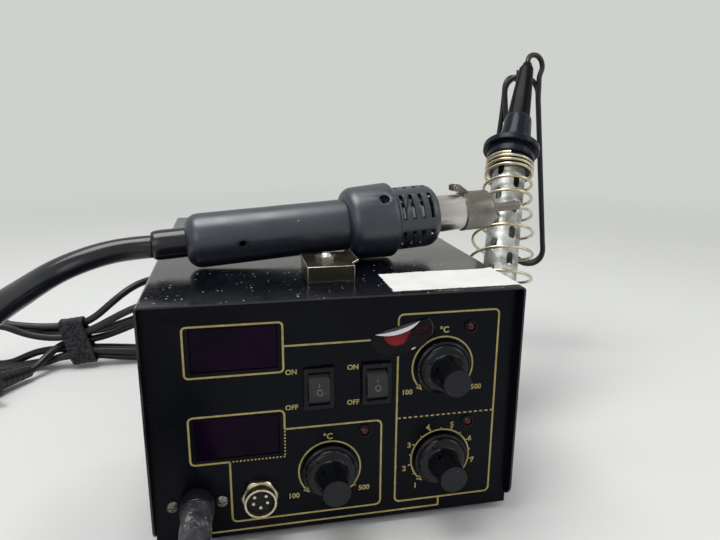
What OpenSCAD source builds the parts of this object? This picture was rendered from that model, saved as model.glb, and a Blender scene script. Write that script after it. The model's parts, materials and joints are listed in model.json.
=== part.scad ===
// Hot air rework station with a soldering iron, an air gun and a spring holder.
// Lengths are in millimetres, angles in degrees.

/* [Case] */
// Width over the cover
case_w = 188; // [186:1:200]
// Depth of the cover, front edge to back edge
case_d = 248; // [246:1:270]
// Height of the cover's top above the table
case_h = 130; // [128:1:140]
// Height of the rubber feet
foot_h = 4; // [3:0.5:8]
// Thickness of the case's sheet steel
sheet = 1; // [0.8:0.1:1.5]
// How far the front panel sits behind the cover's front edge
panel_y = 5.5; // [4:0.5:10]

/* [Panel] */
// Pointer of the air temperature knob, counterclockwise from the top
air_temperature_turn = 66; // [-140:1:140]
// Pointer of the air flow knob, counterclockwise from the top
air_flow_turn = 34; // [-140:1:140]
// Pointer of the iron temperature knob, counterclockwise from the top
iron_temperature_turn = 42; // [-140:1:140]
// Tilt of both rockers, top half out
rocker_tilt = 12; // [-12:1:12]
// Radius of a knob's skirt
knob_r = 14.2; // [12:0.1:15]
// Radius of a potentiometer shaft
shaft_r = 3; // [2.5:0.1:3.5]

/* [Air gun] */
// Turn of the gun's axis away from the case's front
gun_yaw = 5; // [0:1:10]
// Rise of the gun's nozzle
gun_pitch = 3.7; // [3.4:0.1:4]
// Radius of the handle
handle_r = 15; // [14:0.1:16]
// Largest radius of the head
head_r = 22; // [21:0.1:23]
// Radius of the vented nose
nose_r = 18.6; // [18:0.1:19.5]
// Radius of the hot air barrel
barrel_r = 11; // [10:0.1:11.5]
// Rows of vent slots along the nose
vent_rows = 4; // [1:1:4]
// Slots around the nose in each row
vent_columns = 5; // [3:1:6]

/* [Iron holder] */
// Tilt of the holder's tube away from upright
holder_tilt = 35; // [30:1:40]
// Outer radius of the perforated tube
tube_r = 12.5; // [12:0.1:13]
// Radius of the spring's wire
wire_r = 1; // [0.6:0.1:1.2]
// Columns of slots around the tube
slot_columns = 6; // [4:2:8]

/* [Cords] */
// Diameter of the gun's hose
hose_d = 12.5; // [11:0.5:12.5]
// Diameter of the mains lead
mains_d = 6.2; // [5:0.1:7]
// Diameter of the iron's cord
iron_cord_d = 4.4; // [3.5:0.1:5]

/* [Hidden] */
$fn = 64;

// Where the case's zero point, at the middle of its front edge, lies in the object
case_x = -54.95;
case_y = -114.25;

back_y = case_d - panel_y;          // outer face of the back panel
tray_w = case_w - 2 * sheet;        // over the chassis flanges, inside the cover
panel_top = case_h - sheet - 0.4;
floor_z = foot_h + sheet;           // upper face of the chassis floor
cover_low = 9;                      // lower edge of the cover's walls

// Places on the front panel: distance to the right of its middle, height above the table
window_at = [[-51.3, 105.4], [-51.3, 59.3]];
iron_switch_at = [-11, 82];
air_switch_at = [18.4, 82];
air_temperature_at = [53.3, 88.3];
air_flow_at = [53.9, 36.3];
iron_temperature_at = [-5.6, 36];
knob_at = [air_temperature_at, air_flow_at, iron_temperature_at];
led_at = [[67.5, 109], [68.3, 56], [12.5, 56]];
socket_at = [-41.6, 25.7];
gland_at = [-72.3, 25.1];
gland_screw_at = [[-84.3, 24.9], [-60.4, 24.9]];

// Places on the back panel
mains_at = [-64, 62];
fuse_at = [-30, 62];

cover_screw_y = [30, 124, 218];
cover_screw_z = 14;
rest_screw_at = [-0.6, 46];

window_size = [40.5, 21.4];
switch_size = [15, 21.8];
switch_body = [12.9, 18.9];
switch_cavity = [10.7, 17.4];
rocker_pivot = 2;                   // behind the front of the switch's flange
flange_out = 1.6;                   // how far that flange stands out of the panel

// Frames

module at_case() { translate([case_x, case_y, 0]) children(); }

// Stands on the front panel's face, with Z out of the panel and Y up
module on_panel(at) {
    at_case() translate([at.x, panel_y, at.y]) rotate([90, 0, 0]) children();
}

// Stands on the back panel's face, with Z out of the panel and Y up
module on_back(at) {
    at_case() translate([at.x, back_y, at.y]) rotate([90, 0, 180]) children();
}

// Z runs along the gun towards its nozzle, from the middle of the head
gun_at = [38.2, 78.3, case_h + 0.5 + head_r];
module along_gun() {
    at_case() translate(gun_at) rotate([0, 90 - gun_pitch, gun_yaw]) children();
}

// Z runs up the holder's tube
module along_holder() {
    at_case() translate([150.5, 149.6, 130]) rotate([0, holder_tilt, 62]) children();
}

// Z runs up the soldering iron, from the top of the holder
module along_iron() {
    at_case() translate([172.9, 187.6, 191.4]) rotate([0, 36.5, 56.5]) children();
}

// Plain shapes

// A rectangle about zero with round corners
module round_rect(size, r) {
    square([size.x - 2 * r, size.y], center = true);
    square([size.x, size.y - 2 * r], center = true);
    for (sx = [-1, 1], sy = [-1, 1])
        translate([sx * (size.x / 2 - r), sy * (size.y / 2 - r)]) circle(r);
}

// An outline that stands on zero, with round corners at its top only
module arch(w, h, r) {
    translate([-w / 2, 0]) square([w, h - r]);
    translate([r - w / 2, 0]) square([w - 2 * r, h]);
    for (s = [-1, 1]) translate([s * (w / 2 - r), h - r]) circle(r);
}

// A slot with round ends along Y
module stadium(w, l) {
    square([w, l - w], center = true);
    for (s = [-1, 1]) translate([0, s * (l - w) / 2]) circle(w / 2);
}

// A round bar or hole from one height to another
module bar(r, z0, z1) { translate([0, 0, z0]) cylinder(h = z1 - z0, r = r); }

module pipe(r_out, r_in, z0, z1) {
    difference() {
        bar(r_out, z0, z1);
        bar(r_in, z0 - 1, z1 + 1);
    }
}

// A hexagon bar measured across its flats
module hex_bar(flats, z0, z1) {
    translate([0, 0, z0]) cylinder(h = z1 - z0, d = flats / cos(30), $fn = 6);
}

module box(low, high) { translate(low) cube(high - low); }

// A box that is centred on X and Y and stands on z0
module block(size, z0) { translate([-size.x / 2, -size.y / 2, z0]) cube(size); }

// A pan head screw: Z out of its head, zero under the head
pan_r = 3.1;
pan_h = 2;
module pan_screw(length) {
    difference() {
        rotate_extrude() polygon([[0, 0], [pan_r, 0], [pan_r, 0.8], [pan_r - 0.4, 1.4],
                                  [pan_r - 1.3, 1.9], [0, pan_h]]);
        for (a = [0, 90]) rotate(a) block([3.4, 0.8, 2], 1);
    }
    bar(1.5, -length, 0);
}

// Swept tubes

function unit(v) = v / norm(v);
function heading(p, i) = unit(p[min(i + 1, len(p) - 1)] - p[max(i - 1, 0)]);
// A side direction at each point of a route, carried along with the least twist
function sides_of(p, i, n) = i == len(p) ? [] :
    let (t = heading(p, i), m = unit(n - (n * t) * t)) concat([m], sides_of(p, i + 1, m));

module tube(points, d, sides) {
    first = abs(heading(points, 0).z) < 0.9 ? [0, 0, 1] : [1, 0, 0];
    up = sides_of(points, 0, first);
    last = len(points) - 1;
    rings = [for (i = [0:last]) let (side = cross(heading(points, i), up[i]))
             for (k = [0:sides - 1]) let (a = 360 * k / sides)
             points[i] + d / 2 * (cos(a) * up[i] + sin(a) * side)];
    walls = [for (i = [0:last - 1], k = [0:sides - 1]) let (n = (k + 1) % sides)
             [i * sides + k, (i + 1) * sides + k, (i + 1) * sides + n, i * sides + n]];
    start = [for (k = [0:sides - 1]) k];
    end = [for (k = [sides - 1:-1:0]) last * sides + k];
    polyhedron(points = rings, faces = concat([start], walls, [end]), convexity = 6);
}

// The case

module panel_outline() {
    difference() {
        arch(tray_w, panel_top - foot_h, 3);
        children();
    }
}

module front_cutouts() {
    for (p = window_at) translate([p.x, p.y - foot_h]) square([41, 22], center = true);
    for (p = [iron_switch_at, air_switch_at])
        translate([p.x, p.y - foot_h]) square([13.1, 19.1], center = true);
    for (p = knob_at) translate([p.x, p.y - foot_h]) circle(3.6);
    for (p = led_at) translate([p.x, p.y - foot_h]) circle(2.95);
    for (p = gland_screw_at) translate([p.x, p.y - foot_h]) circle(1.7);
    translate([socket_at.x, socket_at.y - foot_h]) circle(8.1);
    translate([gland_at.x, gland_at.y - foot_h]) circle(8.5);
}

module back_cutouts() {
    translate([mains_at.x, mains_at.y - foot_h]) circle(7.2);
    translate([fuse_at.x, fuse_at.y - foot_h]) circle(6.3);
    for (x = [20:8:76]) translate([x, 62]) stadium(3.4, 40);
}

// A folded tray: floor, front panel, back panel and two low side flanges
module chassis() {
    flange_h = 18;
    color("#14161f") at_case() difference() {
        union() {
            box([-tray_w / 2, panel_y, foot_h], [tray_w / 2, back_y, floor_z]);
            for (s = [-1, 1])
                translate([s * (tray_w - sheet) / 2, 0, 0])
                    box([-sheet / 2, panel_y, foot_h], [sheet / 2, back_y, foot_h + flange_h]);
            translate([0, panel_y + sheet, foot_h]) rotate([90, 0, 0])
                linear_extrude(sheet) panel_outline() front_cutouts();
            translate([0, back_y, foot_h]) rotate([90, 0, 0])
                linear_extrude(sheet) panel_outline() back_cutouts();
        }
        for (y = cover_screw_y) translate([-case_w / 2 - 1, y, cover_screw_z])
            rotate([0, 90, 0]) bar(1.55, 0, case_w + 2);
        for (x = [16:9:79]) translate([x, 178, 0]) linear_extrude(20) stadium(4, 30);
    }
}

module cover() {
    wall_h = case_h - cover_low;
    corner = 8;
    vent_y = [150:8:222];
    color("#14161f") at_case() difference() {
        translate([0, case_d, cover_low]) rotate([90, 0, 0]) linear_extrude(case_d) difference() {
            arch(case_w, wall_h, 2);
            translate([0, -1]) arch(tray_w, wall_h - sheet + 1, 1);
        }
        for (y = cover_screw_y) translate([-case_w / 2 - 1, y, cover_screw_z])
            rotate([0, 90, 0]) bar(1.7, 0, case_w + 2);
        for (y = vent_y) translate([-case_w / 2 - 1, y, 70])
            rotate([90, 0, 90]) linear_extrude(case_w + 2) stadium(3, 24);
        for (y = [0, case_d]) translate([-case_w / 2 - 1, y, cover_low]) rotate([90, 0, 90])
            linear_extrude(case_w + 2) difference() {
                square(2 * corner, center = true);
                for (s = [-1, 1]) translate([s * corner, corner]) circle(corner);
            }
        translate([rest_screw_at.x, rest_screw_at.y, 0]) bar(2.1, case_h - 5, case_h + 1);
        along_holder_wall() for (s = [-1, 1]) translate([s * 9, 14, 0]) bar(1.7, -8, 2);
    }
}

module pan_screws() {
    color("silver") {
        at_case() for (y = cover_screw_y, s = [-1, 1])
            translate([s * case_w / 2, y, cover_screw_z]) rotate([0, s * 90, 0]) pan_screw(6);
        for (p = gland_screw_at) on_panel(p) pan_screw(5);
        at_case() along_holder_wall() for (s = [-1, 1]) translate([s * 9, 14, plate_t]) pan_screw(7);
    }
}

module feet() {
    color("#202020") at_case() for (x = [-78, 78], y = [24, 224]) translate([x, y, 0])
        rotate_extrude() polygon([[0, 0], [7, 0], [8, 1], [9, foot_h], [0, foot_h]]);
}

// The front panel's pieces

module display_windows() {
    color("#3a1020") for (p = window_at) on_panel(p) {
        translate([0, 0, -sheet]) linear_extrude(sheet - 0.2) square(window_size, center = true);
        translate([0, 0, -sheet - 1.5]) linear_extrude(1.5) round_rect([46, 27], 1);
    }
}

// Two three-digit modules on one upright board behind the windows
module display_board() {
    module_t = 8;
    board_z = -sheet - 1.5 - module_t;
    color("#1b5a34") {
        for (p = window_at) on_panel(p) block([38, 19, module_t], board_z);
        on_panel([-51.3, 82.3]) block([50, 72, 1.6], board_z - 1.6);
        for (x = [-73, -29.6]) on_panel([x, 82.3]) bar(2, board_z, -sheet);
    }
}

// A switch housing: flange on the panel, hollow for the rocker, two tabs behind
module switch_housing(at) {
    depth = 15;
    wall_end = 12;
    tab_l = 8;
    color("#1a1a1c") on_panel(at) difference() {
        union() {
            linear_extrude(flange_out) round_rect(switch_size, 0.8);
            translate([0, 0, -depth]) linear_extrude(depth) round_rect(switch_body, 0.5);
            for (s = [-1, 1]) translate([0, s * 5, 0]) block([4.8, 0.8, tab_l + 1], -depth - tab_l);
        }
        translate([0, 0, -wall_end]) linear_extrude(wall_end + 5) square(switch_cavity, center = true);
        translate([0, 0, flange_out - rocker_pivot]) rotate([0, 90, 0]) bar(1.25, -6.3, 6.3);
    }
}

module iron_switch_body() { switch_housing(iron_switch_at); }
module air_switch_body() { switch_housing(air_switch_at); }

// A rocker's section: an arc about the pivot with a shallow V across its front
rocker_w = 10.3;
module rocker(at) {
    r = 8.4;
    corner = 55;                    // from straight out to the edge of the V
    v_deep = r * cos(corner) - r * sin(corner) * tan(12);
    color("#202022") on_panel(at) translate([0, 0, flange_out - rocker_pivot])
        rotate([-rocker_tilt, 0, 0]) {
            rotate([90, 0, 90]) translate([0, 0, -rocker_w / 2]) linear_extrude(rocker_w)
                difference() {
                    circle(r, $fn = 128);
                    translate([-r, -r - 3]) square([2 * r, r]);
                    translate([-r, r * cos(corner)]) square([2 * r, r]);
                    polygon([[0, v_deep], [20, v_deep + 20 * tan(12)], [-20, v_deep + 20 * tan(12)]]);
                }
            rotate([0, 90, 0]) bar(1.2, -6.2, 6.2);
        }
}

module iron_rocker() { rocker(iron_switch_at); }
module air_rocker() { rocker(air_switch_at); }

module led_bezels() {
    color("#303034") for (p = led_at) on_panel(p) rotate_extrude()
        polygon([[2.5, -6], [2.9, -6], [2.9, 0], [3.5, 0], [3.3, 1], [2.7, 1.2], [2.5, 1]]);
}

module led_lenses() {
    color("#7a1518") for (p = led_at) on_panel(p) {
        bar(2.9, -7, -6);
        bar(2.45, -6, -0.6);
        translate([0, 0, -0.6]) intersection() {
            sphere(2.45);
            bar(3, -0.1, 3);
        }
    }
}

module pot_bodies() {
    bush_r = 3.5;
    color("#6a6a55") for (p = knob_at) on_panel(p) difference() {
        union() {
            bar(8.2, -sheet - 9, -sheet);
            bar(bush_r, -sheet, 4.8);
            hex_bar(10, 0, 2);
            for (x = [-5, 0, 5]) translate([x - 0.8, -15, -sheet - 6]) cube([1.6, 8, 0.8]);
        }
        bar(shaft_r + 0.05, -sheet - 6, 6);
    }
}

module shaft(at) { color("#b8b8b0") on_panel(at) bar(shaft_r, -sheet - 5.8, 14); }
module air_temperature_shaft() { shaft(air_temperature_at); }
module air_flow_shaft() { shaft(air_flow_at); }
module iron_temperature_shaft() { shaft(iron_temperature_at); }

// A knob: domed skirt, concave stem, hollow underside, pointer dimple and screw hole
module knob(at, turn) {
    gap = 0.8;
    skirt_h = 3;
    dome_r = 9.2;
    dome_h = 6.2;
    stem_low = [8.6, 6.8];
    stem_top = [7.35, 17.6];
    rim = knob_r - 1;
    dome = [for (a = [0:15:90]) [dome_r + (rim - dome_r) * cos(a), skirt_h + (dome_h - skirt_h) * sin(a)]];
    stem = [for (u = [0:0.125:1]) [stem_top.x + (stem_low.x - stem_top.x) * pow(1 - u, 2.2),
                                   stem_low.y + (stem_top.y - stem_low.y) * u]];
    color("#22262e") on_panel(at) rotate(turn) difference() {
        rotate_extrude() polygon(concat(
            [[0, 14], [shaft_r, 14], [shaft_r, 5.5], [8.5, 5.5], [8.5, gap], [knob_r, gap],
             [knob_r, 2.4]], dome, stem, [[0, stem_top.y]]));
        translate([0, 10.7, 6.6]) {
            rotate([90, 0, 0]) bar(1.1, -0.8, 0.8);
            for (s = [-0.8, 0.8]) translate([0, s, 0]) sphere(1.1);
        }
        translate([0, 0, 10]) rotate([-90, 0, 0]) bar(1.2, 4.6, 12);
    }
}

module air_temperature_knob() { knob(air_temperature_at, air_temperature_turn); }
module air_flow_knob() { knob(air_flow_at, air_flow_turn); }
module iron_temperature_knob() { knob(iron_temperature_at, iron_temperature_turn); }

// The iron's socket: hexagon nut in front of the panel, flange behind it, empty mouth
socket_r = 8;
nut_h = 2.6;
socket_out = 7.8;
module socket_shell() {
    color("#b9b096") on_panel(socket_at) difference() {
        union() {
            intersection() {
                hex_bar(17, 0, nut_h);
                rotate_extrude() polygon([[0, 0], [9.3, 0], [9.3, nut_h - 0.8], [8.6, nut_h], [0, nut_h]]);
            }
            bar(socket_r, -8, socket_out);
            bar(9.6, -sheet - 2, -sheet);
        }
        bar(7, -4, socket_out + 1);
        bar(6, -9, -3);
    }
}

pin_turns = [-220, -160, -90, -20, 40];
module socket_insert() {
    color("#151515") on_panel(socket_at) difference() {
        bar(6.9, -4, 4.8);
        for (a = pin_turns) rotate(a) translate([3.7, 0, 0]) bar(0.85, -5, 8);
        translate([0, 6.6, 0]) block([2, 1.6, 4], 2);
    }
}

module socket_pins() {
    color("#c9b27a") on_panel(socket_at) for (a = pin_turns) rotate(a) translate([3.7, 0, 0]) {
        bar(0.8, -8, 5.6);
        bar(1.1, -8, -4);
    }
}

// The gun hose's gland: a boss through the panel on a plate behind it
gland_out = 9;
sleeve_r = 7.4;
sleeve_out = 45.5;
hose_bore = hose_d / 2 + 0.1;
module hose_gland() {
    color("#111113") on_panel(gland_at) difference() {
        union() {
            rotate_extrude() polygon([[0, -sheet], [8.4, -sheet], [8.4, gland_out - 0.9],
                                      [8.1, gland_out - 0.25], [7.9, gland_out], [0, gland_out]]);
            translate([0, 0, -sheet - 4]) linear_extrude(4) round_rect([34, 20], 3);
        }
        bar(sleeve_r + 0.05, -4, gland_out + 1);
        bar(4.5, -6, -3);
        for (p = gland_screw_at) translate([p.x - gland_at.x, p.y - gland_at.y, 0]) bar(1.55, -6, 1);
    }
}

module hose_sleeve() {
    color("#26282c") on_panel(gland_at) pipe(sleeve_r, hose_bore, -4, sleeve_out);
}

// The rest bracket on the cover

rest_h = 8;
module rest_bracket() {
    t = 1.2;
    left = -12.9;
    right = 11.7;
    front = 28;
    back = 62;
    top = case_h + rest_h;
    color("#241f1e") at_case() difference() {
        union() {
            box([left, front, top - t], [right, back, top]);
            box([left, front, case_h], [right, front + t, top]);
            box([left, front, case_h], [left + t, back - 5, top]);
            translate([0, back, 0]) rotate([90, 0, 0]) linear_extrude(back - 35)
                polygon([[right - 1, top - t], [right, top - t], [14.9, top + 1.6 - t],
                         [14.9, top + 1.6], [right, top], [right - 1, top]]);
        }
        translate([rest_screw_at.x, rest_screw_at.y, 0]) bar(2.1, case_h, top + 1);
    }
}

// A thin hexagon washer head with a cross, and its nut under the cover
module rest_screw() {
    color("silver") at_case() translate([rest_screw_at.x, rest_screw_at.y, case_h + rest_h]) {
        difference() {
            union() {
                cylinder(h = 2, r = 6, $fn = 6);
                rotate_extrude() polygon([[0, 2], [3.2, 2], [3, 2.7], [2.2, 3.3], [0, 3.6]]);
            }
            for (a = [0, 90]) rotate(a) block([3.6, 0.8, 2], 2.4);
        }
        bar(1.9, -rest_h - sheet - 4, 0);
        hex_bar(7, -rest_h - sheet - 3, -rest_h - sheet);
    }
}

// The iron holder

plate_t = 2;
tube_low = -48;
tube_top = 62;
tongue_turn = 113.6;                // about the tube, towards the case's wall
bend_at = [case_w / 2, 131.5, 100.7];
bend_slant = -31.7;
// Stands on the case's right wall above the bracket's bend: Z out of the wall, X along the bend
module along_holder_wall() {
    translate(bend_at) rotate([bend_slant, 0, 0]) rotate([90, 0, 90]) children();
}

module holder_bracket() {
    color("#b9bcbd") {
        difference() {
            along_holder() {
                bar(16, tube_low - plate_t, tube_low);
                rotate(tongue_turn) box([0, -15, tube_low - plate_t], [60, 15, tube_low]);
            }
            at_case() translate([case_w / 2 + 1 - 80, 0, 0]) cube([80, 300, 200]);
        }
        at_case() along_holder_wall() linear_extrude(plate_t) difference() {
            translate([-15, -4]) square([30, 28]);
            for (s = [-1, 1]) translate([s * 9, 14]) circle(1.7);
        }
    }
}

// Round-ended slots in columns, each second column half a pitch lower
module holder_tube() {
    wall = 0.8;
    pitch = 21;
    facing = 212.8;                 // the column to the right of the side seen in front
    color("#c4c6c4") along_holder() difference() {
        pipe(tube_r, tube_r - wall, tube_low, tube_top);
        for (c = [0:slot_columns - 1], row = [-(c % 2):3]) rotate(facing + c * 360 / slot_columns)
            translate([0, 0, 36 - (c % 2) * pitch / 2 - row * pitch]) rotate([0, 90, 0])
                linear_extrude(20) rotate(90) stadium(5, 10);
    }
}

// The spring hangs from the collar's spigot and flares to its foot
module holder_spring() {
    turn_t = [-46, -42, -23, -5, 10.6, 24.6, 36.8, 48, 51.7, 55.1, 57.8];
    turn_r = [22.8, 22.8, 22.6, 21.8, 19.6, 18.6, 17.7, 17.5, 17.5, 17.5, 17.5];
    front = 182.8;                  // the side seen in front
    step = 22.5;
    points = [for (a = [270:step:3600]) let (n = a / 360, i = floor(n), f = n - i, j = min(i + 1, 10))
              let (t = turn_t[i] * (1 - f) + turn_t[j] * f, r = turn_r[i] * (1 - f) + turn_r[j] * f)
              [r * cos(a + front), r * sin(a + front), t]];
    color("#cdbf8c") along_holder() tube(points, 2 * wire_r, 6);
}

spigot_r = 16.1;
collar_top = 72.7;
module holder_collar() {
    color("#17181c") along_holder() rotate_extrude() polygon([
        [tube_r + 0.05, 50.5], [spigot_r, 50.5], [spigot_r, 59.2], [17.6, 59.2], [18.4, 60],
        [18.4, 66.6], [17.9, 66.8], [17.9, 67.5], [21.3, 67.5], [21.8, 68], [21.8, collar_top - 0.8],
        [21.2, collar_top], [10.4, collar_top], [9.4, collar_top - 1], [9.4, tube_top],
        [tube_r + 0.05, tube_top]]);
}

// Inside the case

core_at = [-44, 190];
core_d = 38;
module transformer_core() {
    leg = 12;
    h = 60;
    color("#4a4a4c") at_case() translate([core_at.x, core_at.y, floor_z]) difference() {
        union() {
            block([6 * leg, core_d, h], 0);
            block([88, 30, 1.5], 0);
        }
        for (s = [-1, 1]) translate([s * 1.5 * leg, 0, 0]) block([leg, core_d + 2, h - 2 * leg], leg);
        for (s = [-1, 1]) translate([s * 40, 0, 0]) bar(2, -1, 3);
    }
}

module transformer_coil() {
    color("#b8860b") at_case() translate([core_at.x, core_at.y, floor_z]) difference() {
        translate([0, 0, 12]) linear_extrude(35.8) round_rect([47.6, core_d + 22], 2);
        block([24.2, core_d + 0.2, 60], 0);
    }
}

// A diaphragm pump: two bellows heads, a magnet core and the pivot of the arm between them
pump_at = [46, 178];
arm_z = [14, 32];
module pump_housing() {
    color("#35363a") at_case() translate([pump_at.x, pump_at.y, floor_z]) difference() {
        union() {
            block([84, 58, 3], 0);
            for (s = [-1, 1]) translate([-10, s * 27, 24]) rotate([s * 90, 0, 0]) {
                bar(14, 0, 12);
                bar(9, 12, 16);
                bar(5, 16, 20);
                rotate(s * 90) translate([-12, 0, 0]) block([24, 20, 8], 0);
            }
            translate([-10, 0, 0]) for (s = [-1, 1]) translate([0, s * 21, 0]) block([20, 12, 12], 2);
            translate([-34, 0, 0]) block([12, 14, 10], 2);
            translate([-34, 0, 0]) block([12, 14, 4], 34);
            for (s = [-1, 1]) translate([-34, s * 8.5, 0]) block([12, 3, 35.9], 2);
            translate([30, 0, 0]) for (s = [-1, 1]) translate([0, s * 13, 0]) block([16, 12, 30], 2);
            translate([38, 0, 0]) block([8, 38, 30], 2);
            translate([-20, -27, 24]) rotate([0, -90, 0]) bar(3, 0, 12);
        }
        translate([-34, 0, 0]) bar(1.55, 2.5, 40);
    }
}

// The arm with its magnet and pivot pin
module pump_arm() {
    color("#8d8f92") at_case() translate([pump_at.x, pump_at.y, floor_z]) {
        translate([-34, 0, 0]) bar(1.5, 5, 37.5);
        translate([-34, 0, 0]) bar(4, 13, 33);
        box([-34, -1.2, arm_z[0]], [22, 1.2, arm_z[1]]);
        translate([27, 0, 0]) block([11, 8, 18], arm_z[0]);
        translate([-10, 0, 23]) rotate([90, 0, 0]) bar(4, -5.4, 5.4);
    }
}

// Silicone tube from the pump's outlet to the gland
module air_tube() {
    outlet = [pump_at.x - 32, pump_at.y - 27, floor_z + 24];
    route = [outlet, outlet - [9, 0, 0], [-4, 140, 34], [-20, 122, 39], [-34, 100, 41], [-46, 76, 40],
             [-57, 52, 36], [-67, 32, 30], [-72, 20, 26], [gland_at.x, 10.5, gland_at.y]];
    color("#d8d8cc") at_case() tube(route, 8, 8);
}

board_z = floor_z + 10;
module main_board() {
    color("#2e6b3c") at_case() {
        box([-70, 50, board_z], [80, 125, board_z + 1.6]);
        for (x = [-64, 74], y = [56, 119]) translate([x, y, 0]) bar(3, floor_z, board_z);
        translate([0, 0, board_z + 1.6]) {
            for (x = [-20, 0]) translate([x, 112, 0]) bar(6.5, 0, 14);
            for (x = [30:14:58]) translate([x, 66, 0]) block([11, 16, 10], 0);
            translate([20, 100, 0]) block([28, 18, 3], 0);
            translate([58, 104, 0]) block([24, 3, 30], 0);
            for (x = [48:4:68]) translate([x, 109, 0]) block([1.2, 8, 30], 0);
        }
    }
}

module mains_gland() {
    color("#141416") on_back(mains_at) rotate_extrude() polygon([
        [mains_d / 2 + 0.05, -sheet - 6], [7.6, -sheet - 6], [7.6, -sheet - 2], [7.1, -sheet],
        [7.1, 0], [9, 0], [9, 1.4], [8.4, 2], [6.2, 2.4], [4.4, 26], [mains_d / 2 + 0.05, 26]]);
}

module fuse_holder() {
    color("#18181a") on_back(fuse_at) difference() {
        union() {
            bar(6.2, -26, 0);
            bar(8, 0, 2);
            bar(8.6, -sheet - 4, -sheet);
            rotate_extrude() polygon([[0, 2], [6.4, 2], [6.4, 8.4], [5.8, 9], [0, 9]]);
        }
        for (a = [0:30:330]) rotate(a) translate([6.6, 0, 0]) bar(0.5, 3, 10);
        block([8, 1.2, 2], 7.8);
    }
}

// Cords: each route's points are in the case's frame

mains_route = [[-64, 268.6, 62], [-64, 278, 62], [-70, 290, 63], [-84, 296, 64], [-102, 294, 66],
               [-120, 284, 66], [-138, 273, 60], [-154, 265, 48], [-168, 262, 38]];
plug_route = [[-194, 260.6, 17.4], [-199, 258.8, 16.5], [-204, 255, 15.2], [-209, 249, 12.6], [-213, 243.5, 9.8], [-216.6, 238.6, 8.2]];
hank_y = 262;
hank_t = 12;
tie_x = -184;
tie_w = 20;

module mains_cord() { color("#1c1c1e") at_case() tube(mains_route, mains_d, 8); }
module plug_lead() { color("#1c1c1e") at_case() tube(plug_route, mains_d, 8); }

// Two lobes of loops, drawn together by the tie
module mains_hank() {
    color("#1c1c1e") at_case() translate([0, hank_y + hank_t / 2, 0]) rotate([90, 0, 0])
        linear_extrude(hank_t) {
            translate([-114, 35]) rotate(90) stadium(70, 108);
            translate([-238, 21]) rotate(90) stadium(40, 74);
            translate([tie_x, 23]) square([60, 36], center = true);
        }
}

module hank_tie() {
    t = 1.6;
    color("#2a2a2c") at_case() translate([tie_x - tie_w / 2, hank_y, 23]) rotate([90, 0, 90])
        linear_extrude(tie_w) difference() {
            round_rect([hank_t + 2 * t, 40], 5);
            square([hank_t, 36], center = true);
        }
}

// A right-angled plug: ribbed relief, flat body on its edge, three flat pins to the front
module mains_plug() {
    relief_l = 30;
    body = [40, 24];
    body_t = 15;
    at_case() translate([-217, 238, 0]) rotate(233) {
        color("#232326") translate([0, 0, 8]) rotate([0, 86, 0]) difference() {
            cylinder(h = relief_l, r1 = 4.6, r2 = 7.4);
            for (z = [4:5:24]) pipe(12, 4.4 + z * 0.09, z, z + 2.2);
        }
        color("#232326") translate([relief_l + body.x / 2 - 2, body_t / 2, body.y / 2]) rotate([90, 0, 0])
            linear_extrude(body_t) round_rect(body, 9);
        color("#d9d2bd") translate([relief_l + body.x / 2 - 2, body_t / 2 + 17, body.y / 2]) rotate([90, 0, 0]) {
            for (s = [-1, 1]) translate([s * 7, 2, 0]) rotate(s * 30) block([1.6, 6.3, 17], 0);
            translate([0, -6.5, 0]) block([1.6, 6.3, 17], 0);
        }
    }
}

coil_at = [-140, -160];
coil_low = 44;                      // inner and outer radius of the hose's flat spiral
coil_high = 74.5;
module hose_coil() {
    color("#1e1f22") at_case() translate([coil_at.x, coil_at.y, 0]) rotate_extrude(convexity = 4)
        translate([coil_low, 0]) square([coil_high - coil_low, hose_d + 0.2]);
}

hose_lead_route = [[-91, -160, 19.1], [-90.5, -140, 19.1], [-88, -118, 19.4], [-84, -98, 20.8],
                   [-79, -78, 22.6], [-75, -60, 24.5], [-72.6, -50, 25], [-72.3, -40, 25.1]];
module hose_lead() { color("#1e1f22") at_case() tube(hose_lead_route, hose_d, 10); }

// The air gun, along its axis from the middle of the head

shoulder_s = -24;                   // where the head meets the handle
handle_end = -113.7;
gun_sleeve_r = 8.2;
module gun_handle() {
    wall = 2.4;
    color("#2b2f3a") along_gun() difference() {
        rotate_extrude() polygon(concat(
            [[0, handle_end]],
            [for (a = [0:15:90]) [7 + (handle_r - 7) * sin(a), handle_end + 8 * (1 - cos(a))]],
            [[handle_r - 0.2, shoulder_s], [13.4, shoulder_s], [13.4, -12], [0, -12]]));
        bar(handle_r - wall - 1.4, handle_end + 10, -11);
        bar(gun_sleeve_r + 0.05, handle_end - 1, handle_end + 11);
        rotate(280) translate([0, 0, -84]) rotate([0, 90, 0]) {
            bar(3, handle_r - 3.4, handle_r + 2);
            bar(1.6, 5, handle_r);
        }
    }
}

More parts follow.
